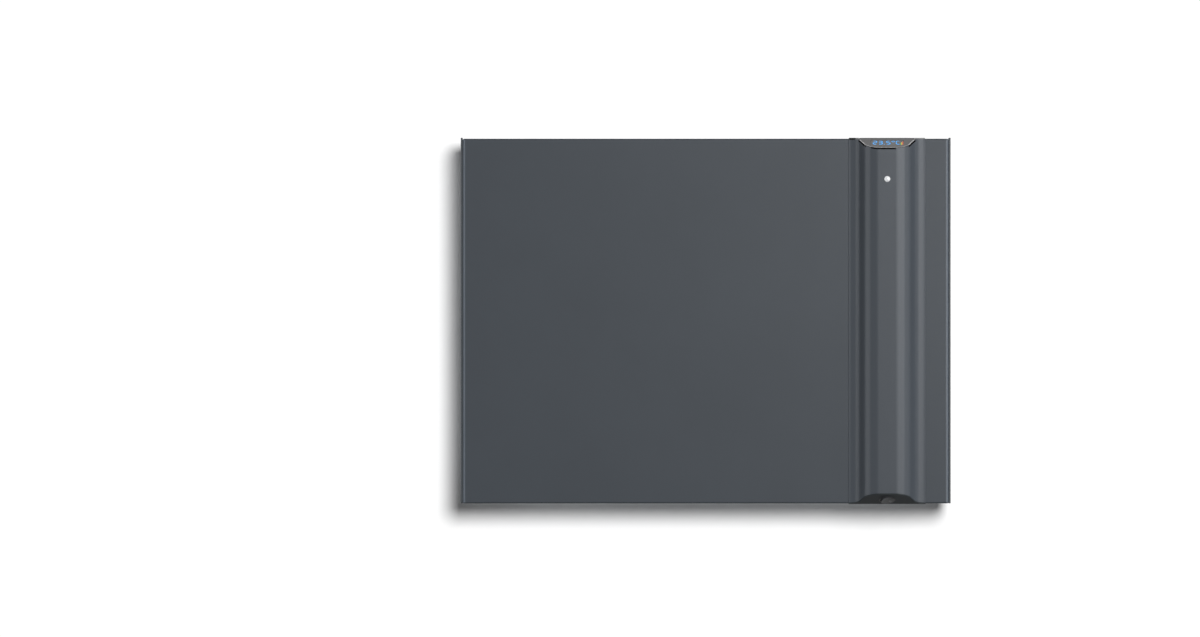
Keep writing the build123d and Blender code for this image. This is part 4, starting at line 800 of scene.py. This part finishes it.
class HEATER_OT_heating(bpy.types.Operator):
    """Finishes the heating track, its films, the foil and the insulation board"""

    bl_idname = "heater.heating"
    bl_label = "Heating layer"

    def execute(self, context):
        dress(flat_film("amber_film", (0.50, 0.26, 0.05), 0.3), "heater_film", "heater_cover_film")
        dress(crumpled_foil("track_foil", (0.34, 0.34, 0.35), 0.4, 10 * MM), "heater_track")
        dress(crumpled_foil("reflector_foil", (0.86, 0.87, 0.88), 0.22, 18 * MM), "reflector_foil")
        dress(pressed_fibre("mineral_board", (0.66, 0.60, 0.48)), "insulation_board")
        return {"FINISHED"}


class HEATER_OT_bracket(bpy.types.Operator):
    """Finishes the wall bracket, the keepers, the latches and the wall buffers"""

    bl_idname = "heater.bracket"
    bl_label = "Wall bracket"

    def execute(self, context):
        colours = context.scene.heater_colours
        steel = ("bracket_rail_upper", "bracket_rail_lower", "bracket_arm_left", "bracket_arm_right")
        dress(zinc_plated("bracket_zinc", colours.zinc), *steel, "keeper_left", "keeper_right")
        dress(turned_steel("rivet_steel", colours.bright_steel), "rivets", "latch_pivots")
        dress(moulded("latch_plastic", colours.black, 0.42), "latch_left", "latch_right")
        dress(moulded_rubber("buffer_rubber", (0.018, 0.018, 0.019)), "wall_buffers")
        return {"FINISHED"}


# the segments that are lit for each character, a at the top and on clockwise, g across the middle
LIT = "abcdef bc abged abgcd fgbc afgcd afgedc abc abcdefg abcdfg afed"
SEGMENTS = dict(zip("0123456789C", LIT.split()))


class HEATER_OT_figures(bpy.types.Operator):
    """Builds the lit figures and the level mark on the display window"""

    bl_idname = "heater.figures"
    bl_label = "Display figures"

    def execute(self, context):
        colours, figures = context.scene.heater_colours, context.scene.heater_figures
        centre, outwards = flat_side("display_window", (0, -1, 1))
        plane = plane_matrix(centre, Vector((1, 0, 0)), outwards)
        segment = self.segment(figures)
        strokes = []
        left = -figures.reading_left
        for character in figures.reading:
            if character == ".":
                width = figures.stroke
                place = (left + width / 2, (figures.stroke - figures.figure_height) / 2, 0)
                strokes.append(bar("point", (width, figures.stroke, figures.print_rise), place))
            elif character == "*":
                width = 2.6 * figures.stroke
                place = (left + width / 2, (figures.figure_height - width) / 2, 0)
                strokes.append(ring("degree", place, 1.0 * figures.stroke, 0.3 * figures.stroke, figures.print_rise))
            else:
                width = figures.figure_width
                middle = left + width / 2
                strokes += [self.copy_of(segment, figures, middle, letter) for letter in SEGMENTS[character]]
            left += width + figures.figure_gap
        bpy.data.objects.remove(segment)
        lit = join("display_figures", strokes)
        lay_on(lit, plane)
        complete(lit, lit_figure("figure_light", colours.figures, glow=0.5), "root")
        self.level_mark(colours, figures, plane)
        return {"FINISHED"}

    def segment(self, figures):
        """One level segment, with its two ends drawn to a point."""
        run = figures.figure_width - 2 * figures.stroke
        piece = bar("segment", (run, figures.stroke, figures.print_rise))
        for side in (-1, 1):
            pick_faces(piece, lambda middle, normal: normal.x * side > 0.9)
            bpy.ops.mesh.extrude_region_move(TRANSFORM_OT_translate={"value": (side * figures.stroke * 0.45, 0, 0)})
            bpy.ops.transform.resize(value=(1.0, 0.15, 1.0))
            clear_selection()
            make_active(piece)
        return piece

    def copy_of(self, segment, figures, middle, letter):
        """A copy of the segment at one of the seven places round a figure's middle."""
        half_width = (figures.figure_width - figures.stroke) / 2
        half_height = (figures.figure_height - figures.stroke) / 2
        level = {"a": half_height, "g": 0.0, "d": -half_height}
        if letter in level:
            return duplicate(segment, "stroke_" + letter, (middle, level[letter], 0))
        side = 1 if letter in "bc" else -1
        up = 1 if letter in "bf" else -1
        return duplicate(
            segment, "stroke_" + letter, (middle + side * half_width, up * half_height / 2, 0), math.radians(90)
        )

    def level_mark(self, colours, figures, plane):
        """Rising bars at the right of the figures."""
        tones = [colours.level_low, colours.level_middle, colours.level_high]
        low = -figures.figure_height / 2
        for step in range(figures.bar_count):
            height = figures.figure_height * (0.35 + 0.25 * step)
            x = figures.level_left + figures.bar_width / 2 + step * (figures.bar_width + figures.bar_gap)
            centre = (x, low + height / 2, 0)
            piece = bar(f"level_bar_{step + 1}", (figures.bar_width, height, figures.print_rise), centre)
            pick_faces(piece, lambda middle, normal: normal.y > 0.9)
            bpy.ops.transform.resize(value=(0.6, 1.0, 1.0))
            clear_selection()
            lay_on(piece, plane)
            tone = tones[min(step, len(tones) - 1)]
            complete(piece, lit_figure(f"bar_light_{step + 1}", tone, glow=0.35), "root")


class HEATER_OT_key_signs(bpy.types.Operator):
    """Prints a minus, a ring and a plus on the three keys"""

    bl_idname = "heater.key_signs"
    bl_label = "Key signs"

    def execute(self, context):
        rise, stroke, run = context.scene.heater_figures.print_rise, 0.6 * MM, 3.4 * MM
        ring_radius, ring_half_stroke = 1.5 * MM, 0.3 * MM
        hand_width, hand_length = 0.5 * MM, 1.4 * MM
        ink = printed("key_ink", context.scene.heater_colours.signs)
        level = bar("sign_minus", (run, stroke, rise))
        across = bar("across", (run, stroke, rise))
        plus = join("sign_plus", [across, bar("up", (stroke, run, rise))])
        rounded = ring("round", (0, 0, 0), ring_radius, ring_half_stroke, rise)
        mode = join("sign_mode", [rounded, bar("hand", (hand_width, hand_length, rise), (0, hand_length / 2, 0))])
        for piece, key in ((level, "key_minus"), (mode, "key_mode"), (plus, "key_plus")):
            centre, outwards = flat_side(key, (0, 0, 1))
            lay_on(piece, plane_matrix(centre, Vector((1, 0, 0)), outwards))
            complete(piece, ink, key)
        return {"FINISHED"}


class HEATER_OT_rocker_signs(bpy.types.Operator):
    """Prints a bar and a ring on the two halves of the rocker"""

    bl_idname = "heater.rocker_signs"
    bl_label = "Rocker signs"

    def execute(self, context):
        rise, off_pivot, face_height = context.scene.heater_figures.print_rise, 3.3 * MM, 2.03 * MM
        bar_width, bar_length = 0.6 * MM, 2.6 * MM
        ring_radius, ring_half_stroke = 1.1 * MM, 0.28 * MM
        joint = JOINTS["power_rocker_tilt"]
        pivot, along = Vector(joint["pos_m"]), Vector(joint["axis"])
        outwards = Vector((1, 0, 0)).cross(along)
        outwards = outwards if outwards.z < 0 else -outwards
        half_throw = math.radians(joint["range_deg"][1] / 2)
        turn = Matrix.Rotation(-half_throw, 4, along)
        if (turn @ outwards).x > 0:
            turn = Matrix.Rotation(half_throw, 4, along)
        across, facing = turn @ Vector((1, 0, 0)), turn @ outwards
        upright = bar("bar", (bar_width, bar_length, rise), (-off_pivot, 0, 0))
        rounded = ring("round", (off_pivot, 0, 0), ring_radius, ring_half_stroke, rise)
        sign = join("rocker_signs", [upright, rounded])
        lay_on(sign, plane_matrix(pivot + facing * face_height, across, facing))
        ink = printed("rocker_ink", shade(context.scene.heater_colours.signs, 0.3))
        complete(sign, ink, "power_rocker")
        return {"FINISHED"}


class HEATER_OT_lift_pad(bpy.types.Operator):
    """Builds a black pad in the lifting notch at the left of the deck, a painted shadow standing in for the shade
    under the deck there
    """

    bl_idname = "heater.lift_pad"
    bl_label = "Notch shadow pad"

    def execute(self, context):
        joint = context.scene.heater_joint
        middle = flat_side("display_window", (0, -1, 1))[0].x
        plate_y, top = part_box("front_panel")[0].y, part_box("display_cap")[1].z
        place = (middle - joint.pad_side, plate_y - joint.pad_reach, top - joint.pad_drop)
        clear_selection()
        bpy.ops.mesh.primitive_cube_add(size=1.0, location=place, rotation=(0, 0, -joint.pad_turn))
        bpy.context.object.scale = (joint.pad_width, joint.pad_thickness, joint.pad_height)
        pad = new_piece("lift_pad")
        bpy.ops.object.mode_set(mode="EDIT")
        bpy.ops.mesh.select_all(action="SELECT")
        bpy.ops.mesh.bevel(offset=joint.pad_round, segments=3)
        clear_selection()
        # painted shadow: the near-black pad stands in for the shade in the notch
        complete(pad, moulded_rubber("pad_rubber", (0.006, 0.006, 0.006)), "root")
        return {"FINISHED"}


class HEATER_OT_inlet_ribs(bpy.types.Operator):
    """Builds the moulded ribs round the nose of the cable inlet"""

    bl_idname = "heater.inlet_ribs"
    bl_label = "Inlet ribs"

    def execute(self, context):
        low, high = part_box("cable_gland")
        centre = (low + high) / 2
        first_from_back, pitch, half_thickness = 5.4 * MM, 1.8 * MM, 0.55 * MM
        ribs = []
        for step, radius in enumerate((7.3 * MM, 6.9 * MM, 6.5 * MM)):
            place = (centre.x, high.y - first_from_back + step * pitch, centre.z)
            clear_selection()
            bpy.ops.mesh.primitive_torus_add(
                major_segments=64, minor_segments=12, major_radius=radius, minor_radius=half_thickness,
                location=place, rotation=UPRIGHT,
            )
            ribs.append(new_piece("rib"))
        piece = join("inlet_ribs", ribs)
        complete(piece, moulded("rib_plastic", context.scene.heater_colours.black, 0.5), "root")
        return {"FINISHED"}


class HEATER_OT_stage(bpy.types.Operator):
    """Sets up the camera, the pale wall and floor, and the studio light"""

    bl_idname = "heater.stage"
    bl_label = "Stage"

    def execute(self, context):
        stage = context.scene.heater_stage
        self.camera(context, stage)
        self.world(context, stage)
        surface = self.pale_surface("pale_wall", stage.wall_shade)
        wall = self.sheet("wall", (0, 0.5 * MM, 0), 6.0, UPRIGHT, surface)
        floor = self.sheet("floor", (0, -1.0, -0.9), 14.0, (0, 0, 0), surface)
        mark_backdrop(wall, floor)
        self.lights(context, stage)
        return {"FINISHED"}

    def camera(self, context, stage):
        plate_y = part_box("front_panel")[0].y
        camera = bpy.data.cameras.new("photo_view")
        camera.lens = camera.sensor_width * stage.camera_distance / stage.view_width
        camera.clip_start, camera.clip_end = 1.0, 100.0
        holder = add_object("photo_view", camera)
        holder.location = (-stage.view_x, plate_y - stage.camera_distance, stage.view_z)
        holder.rotation_euler = UPRIGHT
        context.scene.camera = holder
        context.scene.view_settings.view_transform = "Standard"

    def world(self, context, stage):
        """A pale surround for the eye, with a dim room in front and a brighter one behind."""
        world = bpy.data.worlds.new("studio")
        world.use_nodes = True
        tree = world.node_tree
        kinds = ("TexCoord", "SeparateXYZ", "MapRange", "LightPath", "Mix", "Background", "OutputWorld")
        coordinates, split, spread, path, seen, glow, output = fresh_nodes(tree, *kinds)
        set_span(spread, 0.0, 0.35, stage.front_glow, stage.rear_glow)
        seen.inputs[3].default_value = 0.93
        tree.links.new(coordinates.outputs["Generated"], split.inputs[0])
        tree.links.new(split.outputs["Y"], spread.inputs["Value"])
        tree.links.new(path.outputs["Is Camera Ray"], seen.inputs[0])
        tree.links.new(spread.outputs["Result"], seen.inputs[2])
        tree.links.new(seen.outputs[0], glow.inputs["Strength"])
        tree.links.new(glow.outputs["Background"], output.inputs["Surface"])
        context.scene.world = world

    def pale_surface(self, name, paleness):
        """A matt pale surface seen from its front only."""
        material = bpy.data.materials.new(name)
        material.use_nodes = True
        tree = material.node_tree
        kinds = ("NewGeometry", "BsdfDiffuse", "BsdfTransparent", "MixShader", "OutputMaterial")
        geometry, front, clear, mix, output = fresh_nodes(tree, *kinds)
        front.inputs["Color"].default_value = (paleness, paleness, paleness, 1.0)
        tree.links.new(geometry.outputs["Backfacing"], mix.inputs[0])
        tree.links.new(front.outputs[0], mix.inputs[1])
        tree.links.new(clear.outputs[0], mix.inputs[2])
        tree.links.new(mix.outputs[0], output.inputs["Surface"])
        return material

    def sheet(self, name, place, size, turn, surface):
        """A flat backdrop that only the camera sees."""
        clear_selection()
        bpy.ops.mesh.primitive_plane_add(size=size, location=place, rotation=turn)
        piece = new_piece(name)
        piece.data.materials.append(surface)
        piece.visible_diffuse = piece.visible_glossy = piece.visible_transmission = piece.visible_shadow = False
        return piece

    def lights(self, context, stage):
        key = bpy.data.lights.new("key_light", "SUN")
        key.angle = stage.key_width
        key.energy = stage.key_strength
        towards = Vector((math.tan(stage.key_side), -1.0, math.tan(stage.key_height)))
        holder = add_object("key_light", key)
        holder.rotation_mode = "QUATERNION"
        holder.rotation_quaternion = towards.to_track_quat("Z", "Y")
        holder.visible_glossy = False
        self.lit = bpy.data.collections.new("lit_by_panels")
        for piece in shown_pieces():
            self.lit.objects.link(piece)
        for settings in PANEL_LIGHTS:
            self.panel_light(*settings)

    def panel_light(self, name, place, size, power, diffuse, sheen):
        """A square soft light aimed at the heater, which gives body light, sheen or both."""
        light = bpy.data.lights.new(name, "AREA")
        light.shape = "SQUARE"
        light.size = size
        light.energy = power
        holder = add_object(name, light)
        holder.location = place
        holder.rotation_mode = "QUATERNION"
        holder.rotation_quaternion = Vector(place).to_track_quat("Z", "Y")
        holder.visible_diffuse = diffuse
        holder.visible_glossy = sheen
        holder.light_linking.receiver_collection = self.lit


class HEATER_PT_panel(bpy.types.Panel):
    """Lists the heater's pieces and the settings that shape them"""

    bl_idname = "HEATER_PT_panel"
    bl_label = "Panel heater"
    bl_space_type = "VIEW_3D"
    bl_region_type = "UI"
    bl_category = "Heater"

    def draw(self, context):
        for operator in OPERATORS:
            self.layout.operator(operator.bl_idname, text=operator.bl_label)
        for name in SETTINGS:
            group = getattr(context.scene, name)
            box = self.layout.box()
            for field in group.__annotations__:
                box.prop(group, field)


OPERATORS = [
    HEATER_OT_casing,
    HEATER_OT_column,
    HEATER_OT_skins,
    HEATER_OT_electrics,
    HEATER_OT_heating,
    HEATER_OT_bracket,
    HEATER_OT_figures,
    HEATER_OT_key_signs,
    HEATER_OT_rocker_signs,
    HEATER_OT_lift_pad,
    HEATER_OT_inlet_ribs,
    HEATER_OT_stage,
]
SETTINGS = {
    "heater_colours": HeaterColours,
    "heater_surface": HeaterSurface,
    "heater_figures": HeaterFigures,
    "heater_joint": HeaterJoint,
    "heater_stage": HeaterStage,
}


def register():
    for name, group in SETTINGS.items():
        bpy.utils.register_class(group)
        setattr(bpy.types.Scene, name, PointerProperty(type=group))
    for operator in OPERATORS:
        bpy.utils.register_class(operator)
    bpy.utils.register_class(HEATER_PT_panel)


def unregister():
    bpy.utils.unregister_class(HEATER_PT_panel)
    for operator in reversed(OPERATORS):
        bpy.utils.unregister_class(operator)
    for name, group in SETTINGS.items():
        delattr(bpy.types.Scene, name)
        bpy.utils.unregister_class(group)


def main():
    register()
    clear_selection()
    for operator in OPERATORS:
        family, name = operator.bl_idname.split(".")
        getattr(getattr(bpy.ops, family), name)()


if __name__ == "__main__":
    main()
